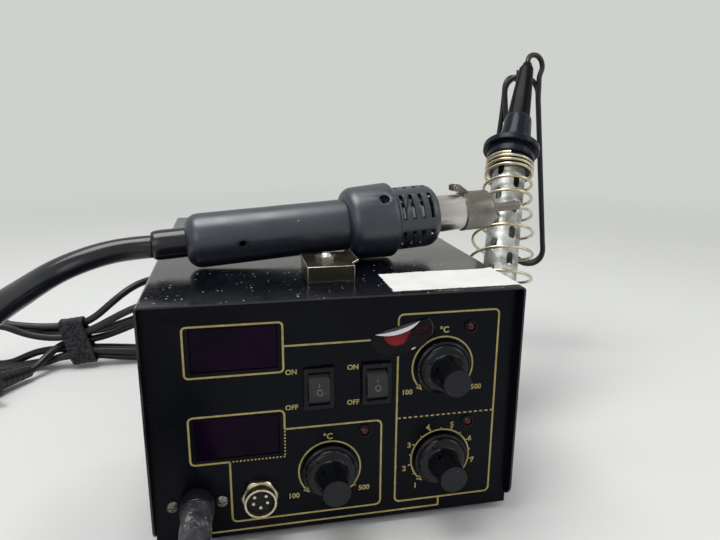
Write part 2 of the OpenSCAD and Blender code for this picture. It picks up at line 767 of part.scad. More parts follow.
// The head: a bell that steps down to the vented nose
module gun_head() {
    nose_end = 32.4;
    inner_r = nose_r - 1.8;
    bell = [for (a = [0:15:90]) [handle_r + (head_r - 0.9 - handle_r) * sin(a), shoulder_s + 6.5 * (1 - cos(a))]];
    step = [[head_r, 2.4], [head_r - 0.5, 3.6], [head_r - 1.6, 4.8], [nose_r + 0.3, 5.8], [nose_r, 6.6]];
    nose = [for (a = [0:15:90]) [12.4 + (nose_r - 12.4) * cos(a), nose_end - 7 + 7 * sin(a)]];
    slot_arc = 50;
    color("#2b2f3a") along_gun() difference() {
        rotate_extrude() polygon(concat(
            [[13.45, shoulder_s]], bell, step, nose,
            [[barrel_r + 1, nose_end], [barrel_r + 1, nose_end - 1.6], [12.4, nose_end - 2]],
            [for (a = [75:-15:0]) [12.4 + (inner_r - 12.4) * cos(a), nose_end - 7 + 5 * sin(a)]],
            [[inner_r, -2], [13.45, -2]]));
        for (row = [0:vent_rows - 1], c = [0:vent_columns - 1])
            rotate(239 + c * 360 / vent_columns - slot_arc / 2)
                rotate_extrude(angle = slot_arc)
                    translate([inner_r - 2, 6.85 + 5.8 * row]) square([6, 2.3]);
        rotate(226) translate([0, 0, -3]) rotate([0, 90, 0]) {
            bar(3, head_r - 4, head_r + 2);
            bar(1.6, 14, head_r);
        }
    }
}

module gun_barrel() {
    color("#6e5a52") along_gun() difference() {
        union() {
            pipe(barrel_r, barrel_r - 0.6, -2, 62);
            pipe(nose_r - 1.9, barrel_r - 0.6, -2, -0.8);
        }
        for (a = [0:90:270]) rotate(a + 20) translate([14.2, 0, 0]) bar(1.2, -3, 0);
    }
}

// The ceramic heater: a finned core in the barrel
module gun_heater() {
    color("#e8e4da") along_gun() {
        pipe(9.9, 8.9, -2, 48);
        bar(3, -2, 48);
        pipe(13.2, 8.9, -3.2, -2);
        for (a = [0:60:300]) rotate(a) translate([2.6, -0.6, -2]) cube([6.8, 1.2, 50]);
    }
}

module gun_sleeve() {
    color("#202226") along_gun() {
        rotate_extrude() polygon([
            [hose_bore, -131], [gun_sleeve_r - 0.9, -131], [gun_sleeve_r - 0.3, -129.4],
            [gun_sleeve_r, -127], [gun_sleeve_r, handle_end + 10], [9.5, handle_end + 10],
            [9.5, handle_end + 11.5], [hose_bore, handle_end + 11.5]]);
    }
}

hose_route = [[-92, 66.9, 143.6], [-101, 66, 143], [-110, 65, 142.3], [-119, 62.8, 140.8],
              [-127, 58.6, 138.5], [-134, 52, 136], [-139, 43.5, 134], [-144, 28, 132],
              [-149, 10, 131], [-153, -3, 129], [-158, -16, 124], [-163, -29, 116], [-168, -41, 105],
              [-174, -54, 92], [-179, -66, 78], [-185, -79, 64], [-190, -92, 49], [-195, -104, 36],
              [-199, -113, 26.5], [-202, -122, 19.8]];
module gun_hose() { color("#1e1f22") at_case() tube(hose_route, hose_d, 10); }

// The nozzle: a cap over the barrel with a split clamp band and a narrow outlet
nozzle_low = 51;
module nozzle() {
    cap_r = barrel_r + 1;
    color("#8a8683") along_gun() difference() {
        union() {
            rotate_extrude() polygon([
                [barrel_r + 0.05, nozzle_low], [cap_r, nozzle_low], [cap_r, 66.6], [cap_r - 0.5, 68.6],
                [cap_r - 1.7, 70.1], [cap_r - 3.6, 70.6], [2.85, 70.6], [2.85, 91.5], [2.3, 91.5],
                [2.3, 69.8], [cap_r - 4, 69.8], [cap_r - 2, 68.9], [barrel_r + 0.05, 66.6]]);
            for (s = [-1, 1]) rotate(180) translate([barrel_r + 0.4, s * 1.6, 0])
                rotate([90, 0, 0]) translate([0, 0, -0.4]) linear_extrude(0.8)
                    polygon([[0, 51.6], [1.2, 50.6], [2.2, 44.6], [5.6, 44.6], [5.6, 50], [0, 57]]);
        }
        rotate(180) box([barrel_r - 1, -0.6, nozzle_low - 1], [barrel_r + 2, 0.6, 59]);
        rotate(180) translate([barrel_r + 4.1, 0, 47.3]) rotate([90, 0, 0]) bar(1.1, -4, 4);
    }
}

module nozzle_screw() {
    color("#77726c") along_gun() rotate(180) translate([barrel_r + 4.1, 0, 47.3]) rotate([90, 0, 0]) {
        bar(1.05, -5.4, 4);
        bar(2.1, 2, 3.6);
        hex_bar(4, -3.6, -2);
    }
}

// The soldering iron, along its axis from the holder's top

foot_low = -1.3;
module iron_foot() {
    color("#1b1b20") along_iron() rotate_extrude() polygon([
        [0, -10], [6.5, -10], [6.5, foot_low], [10, foot_low], [10.4, 0.2], [12.2, 1.2], [12.2, 6],
        [11.6, 11], [10.8, 21], [10.3, 24], [9.9, 24.8], [0, 24.8]]);
}

// Four flats on a handle that narrows to the strain relief
module iron_handle() {
    color("#19191b") along_iron() {
        difference() {
            rotate_extrude() polygon([[0, 24.8], [9.7, 24.8], [8.3, 50], [6.2, 74], [0, 74]]);
            for (a = [0:90:270]) rotate(a + 2.8) translate([8.8, -12, 24]) rotate([0, -3.7, 0])
                translate([0, 0, -2]) cube([5, 24, 60]);
        }
        rotate_extrude() polygon([[0, 74], [5.4, 74], [5, 75.4], [3.6, 80], [0, 80]]);
    }
}

module iron_barrel() {
    color("#a9a9ab") along_iron() {
        hex_bar(11, -16, -10);
        bar(4.6, -20, -16);
        bar(3.2, -74, -20);
    }
}

module iron_tip() {
    color("#c8c8c8") along_iron() {
        bar(2.6, -88, -74);
        translate([0, 0, -96]) cylinder(h = 8, r1 = 0.4, r2 = 2.6);
    }
}

iron_route = [[199.1, 227.3, 255.7], [201.2, 230.3, 260.3], [204.6, 234, 263.8], [208.5, 237.2, 264.4],
              [212, 239.2, 261.4], [214, 239.6, 255.2], [214.4, 239, 247], [213, 239, 239]];
plug_drop = [[200, 259, 240], [203, 262, 228], [204, 263, 214], [204, 263, 190], [204, 263, 168],
             [204, 263, 146]];
module iron_cord() {
    color("#1a1a1c") at_case() {
        tube(iron_route, iron_cord_d, 8);
        tube(plug_drop, iron_cord_d, 8);
    }
}

// The cord's hank hangs on edge behind the iron
hank_top = [197, 245, 247];
hank_low = [216, 232, 82];
module iron_hank() {
    run = hank_top - hank_low;
    color("#1a1a1c") at_case() translate(hank_low + run / 2)
        rotate([0, acos(run.z / norm(run)), atan2(run.y, run.x)])
            rotate([90, 0, 8]) translate([0, 0, -6]) linear_extrude(12) stadium(37, norm(run));
}

module iron_plug() {
    color("#9a9a9c") at_case() translate([204, 263, 105]) {
        bar(8.5, 0, 18);
        bar(7, 18, 33);
        translate([0, 0, 33]) cylinder(h = 8, r1 = 5, r2 = 3.2);
    }
}

chassis();
cover();
pan_screws();
feet();
display_windows();
display_board();
iron_switch_body();
air_switch_body();
led_bezels();
led_lenses();
pot_bodies();
socket_shell();
socket_insert();
socket_pins();
hose_gland();
hose_sleeve();
rest_bracket();
rest_screw();
holder_bracket();
holder_tube();
holder_spring();
holder_collar();
transformer_core();
transformer_coil();
pump_housing();
air_tube();
main_board();
mains_gland();
fuse_holder();
mains_cord();
mains_hank();
hank_tie();
plug_lead();
mains_plug();
hose_coil();
hose_lead();
pump_arm();
iron_rocker();
air_rocker();
air_temperature_shaft();
air_temperature_knob();
air_flow_shaft();
air_flow_knob();
iron_temperature_shaft();
iron_temperature_knob();
gun_handle();
gun_head();
gun_barrel();
gun_heater();
gun_sleeve();
gun_hose();
nozzle();
nozzle_screw();
iron_handle();
iron_foot();
iron_barrel();
iron_tip();
iron_cord();
iron_hank();
iron_plug();
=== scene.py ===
import json
import math
from contextlib import contextmanager

import bmesh
import bpy
import numpy as np
from mathutils import Euler, Matrix, Vector


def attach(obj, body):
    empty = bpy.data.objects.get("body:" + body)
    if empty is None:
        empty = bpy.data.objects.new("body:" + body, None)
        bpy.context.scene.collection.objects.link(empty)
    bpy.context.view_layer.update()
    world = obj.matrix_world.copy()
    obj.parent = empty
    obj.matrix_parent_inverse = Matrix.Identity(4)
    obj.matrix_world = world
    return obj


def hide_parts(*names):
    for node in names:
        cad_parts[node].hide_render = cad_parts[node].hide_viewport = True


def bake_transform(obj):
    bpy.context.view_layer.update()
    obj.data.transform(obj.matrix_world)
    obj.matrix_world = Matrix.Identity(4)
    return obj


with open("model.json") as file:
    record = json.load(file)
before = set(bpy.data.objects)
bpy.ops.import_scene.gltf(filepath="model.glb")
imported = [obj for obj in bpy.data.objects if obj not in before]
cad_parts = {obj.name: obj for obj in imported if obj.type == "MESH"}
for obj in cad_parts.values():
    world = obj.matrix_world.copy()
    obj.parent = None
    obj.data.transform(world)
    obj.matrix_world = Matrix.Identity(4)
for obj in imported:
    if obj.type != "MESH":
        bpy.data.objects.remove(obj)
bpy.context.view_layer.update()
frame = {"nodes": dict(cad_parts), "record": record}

# Lengths are millimetres in the case's own frame: x to the right of its middle, y back from its
# front edge, z above the table. placed() turns them into the object's metres.
mm = 0.001
caseZero = (-54.95, -114.25, 0.0)
panelY = 5.5  # the panel's face behind the cover's front edge


def placed(points):
    return (np.asarray(points, float) + caseZero) * mm


def turnedFrame(origin, lean, turn):  # local Z leans about Y, then turns about Z
    matrix = Euler((0, math.radians(lean), math.radians(turn))).to_matrix().to_4x4()
    matrix.translation = Vector(placed(origin))
    return matrix


def panelFrame(x, z, y=panelY):  # local X to the right, Y up, Z out of the panel
    matrix = Euler((math.radians(90), 0, 0)).to_matrix().to_4x4()
    matrix.translation = Vector(placed((x, y, z)))
    return matrix


def into(matrix, points):  # local millimetres to the object's metres
    turn = np.array(matrix)
    return np.asarray(points, float) * mm @ turn[:3, :3].T + turn[:3, 3]


gunFrame = turnedFrame((38.2, 78.3, 152.5), 86.3, 5)
holderFrame = turnedFrame((150.5, 149.6, 130), 35, 62)

bodyOf = {}
for bodyName, bodyNodes in frame["record"]["behaviour"]["bodies"].items():
    bodyOf.update({n: bodyName for n in bodyNodes})

# camera

camera = {"eye": (-49.36, -271.20, 213.02), "forward": (0.20168, 0.94813, -0.24573),
          "right": (0.97847, -0.20628, 0.00717), "lens": 30.4995, "sensor": 36.0}


def addCamera(c):
    data = bpy.data.cameras.new("photoCamera")
    data.sensor_fit, data.sensor_width, data.lens = "HORIZONTAL", c["sensor"], c["lens"]
    data.clip_start, data.clip_end = 0.01, 50
    obj = bpy.data.objects.new("photoCamera", data)
    bpy.context.scene.collection.objects.link(obj)
    forward = Vector(c["forward"]).normalized()
    right = (Vector(c["right"]) - Vector(c["right"]).dot(forward) * forward).normalized()
    up = right.cross(forward)
    turn = Matrix((right, up, -forward)).transposed().to_4x4()
    turn.translation = Vector(placed(c["eye"]))
    obj.matrix_world = turn
    bpy.context.scene.camera = obj


addCamera(camera)
bpy.context.scene.view_settings.view_transform = "Standard"
print("camera set")

# surfaces

weldNear = {"made": 1e-6, "cad": 2e-6}  # metres within which two points are one
flatWithin = 0.6  # degrees between two triangles that are one flat face


@contextmanager
def meshWork(mesh):  # a bmesh of the mesh, written back at the end
    work = bmesh.new()
    work.from_mesh(mesh)
    yield work
    work.to_mesh(mesh)
    work.free()


def pieceFromFaces(name, points, faces, material, sharp=None):
    mesh = bpy.data.meshes.new(name)
    mesh.from_pydata(np.asarray(points).reshape(-1, 3).tolist(), [], faces)
    mesh.update()
    mesh.shade_smooth()
    if sharp is not None:
        mesh.set_sharp_from_angle(angle=math.radians(sharp))
    mesh.materials.append(material)
    obj = bpy.data.objects.new(name, mesh)
    bpy.context.scene.collection.objects.link(obj)
    return obj


def gridFaces(rows, columns, roundRows=False, roundColumns=True):
    # quads between row i and i+1, column k and k+1, wrapping where asked
    i = np.arange(rows if roundRows else rows - 1)[:, None]
    k = np.arange(columns if roundColumns else columns - 1)[None, :]
    i2, k2 = (i + 1) % rows, (k + 1) % columns
    corners = (i * columns + k, i * columns + k2, i2 * columns + k2, i2 * columns + k)
    return np.stack(np.broadcast_arrays(*corners), axis=-1).reshape(-1, 4).tolist()


def endFaces(rows, columns):  # the flat faces that close the first and the last ring of a grid
    return [list(range(columns - 1, -1, -1)), list(range((rows - 1) * columns, rows * columns))]


def joined(parts):  # several pairs of points and faces as one pair
    points, faces, first = [], [], 0
    for p, f in parts:
        points.append(np.asarray(p, float))
        faces += [[first + v for v in face] for face in f]
        first += len(points[-1])
    return np.concatenate(points), faces


def splineThrough(points, step):
    # cubic pieces over chord length with matching slope and bend at every point, free ends
    p = np.asarray(points, float)
    n, h = len(p), np.linalg.norm(np.diff(p, axis=0), axis=1)
    t, i = np.r_[0, np.cumsum(h)], np.arange(1, n - 1)
    a, b = np.eye(n), np.zeros((n, 3))
    a[i, i - 1], a[i, i], a[i, i + 1] = h[:-1], 2 * (h[:-1] + h[1:]), h[1:]
    b[1:-1] = 6 * np.diff(np.diff(p, axis=0) / h[:, None], axis=0)
    m = np.linalg.solve(a, b)
    s = np.linspace(0, t[-1], int(t[-1] / step) + 1)
    k = np.clip(np.searchsorted(t, s, side="right") - 1, 0, n - 2)
    u, v, w = (s - t[k])[:, None], (t[k + 1] - s)[:, None], h[k][:, None]
    return ((m[k] * v**3 + m[k + 1] * u**3) / (6 * w) + (p[k] / w - m[k] * w / 6) * v
            + (p[k + 1] / w - m[k + 1] * w / 6) * u)


def evenly(line, step):
    # the same line with its points at equal distances
    d = np.r_[0, np.cumsum(np.linalg.norm(np.diff(line, axis=0), axis=1))]
    s = np.linspace(0, d[-1], int(round(d[-1] / step)) + 1)
    return np.stack([np.interp(s, d, line[:, c]) for c in range(3)], axis=1)


def sweptRings(line, radius, sides):
    # a ring of points about each point of the line: centre + radius (cos a * across + sin a * up)
    along = np.gradient(line, axis=0)
    along /= np.linalg.norm(along, axis=1)[:, None]
    across = np.zeros_like(along)
    aim = np.array((0, 0, 1) if abs(along[0, 2]) < 0.9 else (1, 0, 0), float)
    for i in range(len(line)):  # carried along with the least twist
        aim = aim - aim.dot(along[i]) * along[i]
        aim /= np.linalg.norm(aim)
        across[i] = aim
    up = np.cross(along, across)
    a = np.linspace(0, 2 * np.pi, sides, endpoint=False)[None, :, None]
    return line[:, None] + radius * (np.cos(a) * across[:, None] + np.sin(a) * up[:, None])


def tubePiece(name, line, radius, sides, material):
    # the rings joined into a tube with flat ends
    rows = len(line)
    faces = gridFaces(rows, sides) + endFaces(rows, sides)
    return pieceFromFaces(name, sweptRings(line, radius, sides), faces, material, sharp=50)


def mend(piece):
    # doubles merged, empty faces dropped, faces turned outwards
    with meshWork(piece.data) as work:
        bmesh.ops.remove_doubles(work, verts=work.verts, dist=weldNear["made"])
        bmesh.ops.dissolve_degenerate(work, edges=work.edges, dist=weldNear["made"])
        bmesh.ops.recalc_face_normals(work, faces=work.faces)
    piece.data.shade_smooth()


def reshape(piece, matrix, change):
    # moves the mesh's points, which change() is given in the frame's own millimetres
    away = np.array(matrix.inverted())
    p = np.zeros(len(piece.data.vertices) * 3)
    piece.data.vertices.foreach_get("co", p)
    p = (p.reshape(-1, 3) @ away[:3, :3].T + away[:3, 3]) / mm
    change(p)
    piece.data.vertices.foreach_set("co", into(matrix, p).ravel())
    piece.data.update()


def dressed(node, material, bevel, angle=30, edge=None):
    # a merged copy of a node's mesh with soft edges, which stands for the node
    mesh = frame["nodes"][node].data.copy()
    with meshWork(mesh) as work:
        bmesh.ops.remove_doubles(work, verts=work.verts, dist=weldNear["cad"])
        bmesh.ops.dissolve_degenerate(work, edges=work.edges, dist=weldNear["cad"])
        bmesh.ops.dissolve_limit(work, angle_limit=math.radians(flatWithin), use_dissolve_boundaries=False,
                                 verts=work.verts, edges=work.edges)
    mesh.shade_smooth()
    mesh.set_sharp_from_angle(angle=math.radians(angle))
    mesh.materials.clear()
    mesh.materials.append(material)
    piece = bpy.data.objects.new(node + ".look", mesh)
    bpy.context.scene.collection.objects.link(piece)
    soft = piece.modifiers.new("softEdges", "BEVEL")
    soft.width, soft.segments, soft.limit_method = bevel * mm, 2, "ANGLE"
    soft.angle_limit, soft.miter_outer = math.radians(angle + 5), "MITER_ARC"
    soft.use_clamp_overlap = True
    if edge is not None:
        mesh.materials.append(edge)
        soft.material = 1
    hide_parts(node)
    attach(piece, bodyOf[node])
    return piece


def repaint(node, material):  # a CAD node that keeps its shape
    obj = frame["nodes"][node]
    if not obj.material_slots:
        obj.data.materials.append(material)
    for s in obj.material_slots:
        s.material = material


# shader groups


def newNode(tree, kind, inputs, **settings):
    # a shader node with its settings, then its inputs by name or number: each a link or a fixed value
    node = tree.nodes.new("ShaderNode" + kind)
    for key, value in settings.items():
        setattr(node, key, value)
    for socket, value in inputs.items():
        if isinstance(value, bpy.types.NodeSocket):
            tree.links.new(value, node.inputs[socket])
        else:
            node.inputs[socket].default_value = value
    return node


def mathNode(tree, operation, *values, clamp=False):
    return newNode(tree, "Math", dict(enumerate(values)), operation=operation, use_clamp=clamp).outputs[0]


def rangeNode(tree, value, low, high, toLow=0.0, toHigh=1.0, ease="SMOOTHSTEP"):
    ends = {"Value": value, "From Min": low, "From Max": high, "To Min": toLow, "To Max": toHigh}
    return newNode(tree, "MapRange", ends, interpolation_type=ease).outputs[0]


def noiseNode(tree, vector, scale, detail, roughness=0.6, distortion=0.0):
    inputs = {"Vector": vector, "Scale": scale, "Detail": detail, "Roughness": roughness,
              "Distortion": distortion}
    return newNode(tree, "TexNoise", inputs).outputs[0]


def mixColour(tree, factor, a, b):
    a, b = [(*v, 1) if isinstance(v, tuple) else v for v in (a, b)]
    return newNode(tree, "Mix", {"Factor": factor, 6: a, 7: b}, data_type="RGBA").outputs[2]


def newGroup(name, inputs, result, kind="Float"):
    # a group's tree, the outputs of its input node by name, and the socket that takes its result
    tree = bpy.data.node_groups.new(name, "ShaderNodeTree")
    for title, value in inputs.items():
        sort = "NodeSocketFloat" if isinstance(value, float) else "NodeSocketVector"
        made = tree.interface.new_socket(name=title, in_out="INPUT", socket_type=sort)
        if value is not None:
            made.default_value = value
    tree.interface.new_socket(name=result, in_out="OUTPUT", socket_type="NodeSocket" + kind)
    return tree, tree.nodes.new("NodeGroupInput").outputs, tree.nodes.new("NodeGroupOutput").inputs[result]


dustLook = {"wobble": 0.0012, "wobbleScale": 900.0, "edge": 0.08, "patches": 0.14,
            "gather": (0.42, 0.6), "between": 0.12}


def makeDust(d):
    # a speck in some of the cells of a cell pattern, each of its own size, more of them in some patches
    inputs = {"Vector": None, "Scale": 300.0, "Amount": 0.2, "Size": 0.3}
    tree, given, result = newGroup("dustSpecks", inputs, "Mask")
    wobble = newNode(tree, "TexNoise", {"Vector": given["Vector"], "Scale": d["wobbleScale"]}).outputs[1]
    bend = {0: wobble, 1: (d["wobble"],) * 3, 2: given["Vector"]}
    bent = newNode(tree, "VectorMath", bend, operation="MULTIPLY_ADD").outputs[0]
    cell = newNode(tree, "TexVoronoi", {"Vector": bent, "Scale": given["Scale"]})
    ofCell = newNode(tree, "SeparateColor", {0: cell.outputs["Color"]}).outputs
    radius = mathNode(tree, "MULTIPLY", given["Size"], ofCell[0])
    drawn = rangeNode(tree, mathNode(tree, "SUBTRACT", radius, cell.outputs["Distance"]), 0.0, d["edge"])
    kept = mathNode(tree, "LESS_THAN", ofCell[1], given["Amount"])
    wide = noiseNode(tree, given["Vector"], mathNode(tree, "MULTIPLY", given["Scale"], d["patches"]), 2.0)
    gathered = rangeNode(tree, wide, *d["gather"], d["between"], 1.0)
    specks = mathNode(tree, "MULTIPLY", mathNode(tree, "MULTIPLY", drawn, kept), gathered)
    tree.links.new(specks, result)
    return tree


scuffLook = {"patches": 0.22, "lean": 0.6, "from": 0.86, "spread": 0.4, "edge": 0.14}


def makeScuffs(s):
    # rubbed marks: fine noise, kept where a wide noise is high
    tree, given, result = newGroup("rubbedMarks", {"Vector": None, "Scale": 60.0, "Amount": 0.5}, "Mask")
    fine = noiseNode(tree, given["Vector"], given["Scale"], 9.0, 0.72, 0.6)
    wide = noiseNode(tree, given["Vector"], mathNode(tree, "MULTIPLY", given["Scale"], s["patches"]), 3.0)
    lean = mathNode(tree, "MULTIPLY", mathNode(tree, "SUBTRACT", wide, 0.5), s["lean"])
    edge = mathNode(tree, "SUBTRACT", s["from"], mathNode(tree, "MULTIPLY", given["Amount"], s["spread"]))
    marks = rangeNode(tree, mathNode(tree, "ADD", fine, lean), edge, mathNode(tree, "ADD", edge, s["edge"]))
    tree.links.new(marks, result)
    return tree


def makeTone():
    # slow patches from 0 to 1, with harder edges as the contrast rises
    tree, given, result = newGroup("slowPatches", {"Vector": None, "Scale": 20.0, "Contrast": 0.5}, "Value")
    wide = noiseNode(tree, given["Vector"], given["Scale"], 6.0, 0.62, 0.4)
    reach = mathNode(tree, "MULTIPLY", mathNode(tree, "SUBTRACT", 1.0, given["Contrast"]), 0.35)
    low, high = mathNode(tree, "SUBTRACT", 0.5, reach), mathNode(tree, "ADD", 0.5, reach)
    tree.links.new(rangeNode(tree, wide, low, high), result)
    return tree


def makeGrain():
    # fine height: noise, pulled out along an axis where asked
    inputs = {"Vector": None, "Scale": 800.0, "Stretch": (1.0, 1.0, 1.0)}
    tree, given, result = newGroup("fineGrain", inputs, "Height")
    pull = newNode(tree, "VectorMath", {0: given["Vector"], 1: given["Stretch"]}, operation="MULTIPLY")
    tree.links.new(noiseNode(tree, pull.outputs[0], given["Scale"], 3.0), result)
    return tree


oxides = [(0.0, (0.46, 0.44, 0.41)), (0.22, (0.40, 0.365, 0.32)), (0.42, (0.30, 0.25, 0.21)),
          (0.62, (0.215, 0.175, 0.155)), (0.8, (0.18, 0.16, 0.155)), (1.0, (0.26, 0.245, 0.23))]


def makeHeat(stops):
    # steel's oxide colours over a heat value: bare, straw, brown, blue grey
    tree, given, result = newGroup("heatColours", {"Heat": 0.0}, "Color", "Color")
    ramp = newNode(tree, "ValToRGB", {0: given["Heat"]})
    while len(ramp.color_ramp.elements) < len(stops):
        ramp.color_ramp.elements.new(0.5)
    for e, (where, colour) in zip(ramp.color_ramp.elements, stops):
        e.position, e.color = where, (*colour, 1)
    tree.links.new(ramp.outputs[0], result)
    return tree


groups = {"dust": makeDust(dustLook), "scuff": makeScuffs(scuffLook), "tone": makeTone(),
          "grain": makeGrain(), "heat": makeHeat(oxides)}


def placeGroup(tree, kind, **inputs):
    return newNode(tree, "Group", inputs, node_tree=groups[kind]).outputs[0]


# What the looks of a finish mean; all but the first row may be left out.
# colour; rough, or (lowest, highest, patches); metal; specular; coat and coatRough; sheen and sheenRough
# tone: (second colour, patches), contrast: how hard the patches are
# dust: (colour, cells, share of them that hold a speck, size), topOnly: how far up a face looks to gather it
# scuff: (colour, scale, amount)
# grain: (strength, scale), grainDepth: metres, grainStretch: along each axis
# heat: millimetres along the frame's Z where the heat tint starts and ends, heatBlot: how blotched it is
plainLook = {"rough": 0.5, "metal": 0.0, "specular": 0.5, "coat": 0.0, "coatRough": 0.1, "sheen": 0.0,
             "sheenRough": 0.5, "contrast": 0.4, "grainDepth": 0.0002, "grainStretch": (1.0, 1.0, 1.0)}
markRough = 0.75  # roughness of a speck or a scuff
settled = {"full": 0.9, "onSides": 0.12}  # how far up a face looks for all its dust, and its share on sides
heatBlots = {"patches": 90.0, "contrast": 0.3, "tint": 0.6}


def newFinish(name, place=None, **looks):
    look = {**plainLook, **looks}
    m = bpy.data.materials.new(name)
    m.use_nodes = True
    tree = m.node_tree
    shader = tree.nodes["Principled BSDF"]
    rough, *roughTo = look["rough"] if isinstance(look["rough"], tuple) else (look["rough"],)
    for socket, value in {"Base Color": (*look["colour"], 1), "Roughness": rough, "Metallic": look["metal"],
                          "Specular IOR Level": look["specular"], "Coat Weight": look["coat"],
                          "Coat Roughness": look["coatRough"], "Sheen Weight": look["sheen"],
                          "Sheen Roughness": look["sheenRough"]}.items():
        shader.inputs[socket].default_value = value
    vector = newNode(tree, "TexCoord", {}).outputs["Object"]
    if place is not None:
        turn = {"Vector": vector, "Location": place.to_translation(), "Rotation": place.to_euler()}
        vector = newNode(tree, "Mapping", turn, vector_type="TEXTURE").outputs[0]
    colour = look["colour"]
    if "tone" in look:
        second, scale = look["tone"]
        patches = placeGroup(tree, "tone", Vector=vector, Scale=scale, Contrast=look["contrast"])
        colour = mixColour(tree, patches, colour, second)
    if roughTo:
        patches = placeGroup(tree, "tone", Vector=vector, Scale=roughTo[1], Contrast=look["contrast"])
        rough = rangeNode(tree, patches, 0.0, 1.0, rough, roughTo[0])
    for kind, sockets in {"scuff": ("Scale", "Amount"), "dust": ("Scale", "Amount", "Size")}.items():
        if kind not in look:
            continue
        markColour, *values = look[kind]
        mask = placeGroup(tree, kind, Vector=vector, **dict(zip(sockets, values)))
        if kind == "dust" and "topOnly" in look:  # dust settles where the surface faces up
            normal = newNode(tree, "NewGeometry", {}).outputs["Normal"]
            up = newNode(tree, "SeparateXYZ", {0: normal}).outputs[2]
            share = rangeNode(tree, up, look["topOnly"], settled["full"], settled["onSides"], 1.0)
            mask = mathNode(tree, "MULTIPLY", mask, share)
        colour = mixColour(tree, mask, colour, markColour)
        rough = mathNode(tree, "MAXIMUM", rough, mathNode(tree, "MULTIPLY", mask, markRough))
    if "grain" in look:
        strength, scale = look["grain"]
        height = placeGroup(tree, "grain", Vector=vector, Scale=scale, Stretch=look["grainStretch"])
        bump = newNode(tree, "Bump", {"Strength": strength, "Distance": look["grainDepth"], "Height": height})
        tree.links.new(bump.outputs[0], shader.inputs["Normal"])
    if "heat" in look:
        start, end = look["heat"]
        height = newNode(tree, "SeparateXYZ", {0: vector}).outputs[2]
        along = rangeNode(tree, height, start * mm, end * mm, ease="LINEAR")
        blot = placeGroup(tree, "tone", Vector=vector, Scale=heatBlots["patches"],
                          Contrast=heatBlots["contrast"])
        blot = mathNode(tree, "SUBTRACT", blot, 0.5)
        value = mathNode(tree, "ADD", along, mathNode(tree, "MULTIPLY", blot, look["heatBlot"]), clamp=True)
        tint = placeGroup(tree, "heat", Heat=value)
        colour = mixColour(tree, mathNode(tree, "MULTIPLY", along, heatBlots["tint"]), colour, tint)
    for value, socket in ((colour, "Base Color"), (rough, "Roughness")):
        if isinstance(value, bpy.types.NodeSocket):
            tree.links.new(value, shader.inputs[socket])
    return m


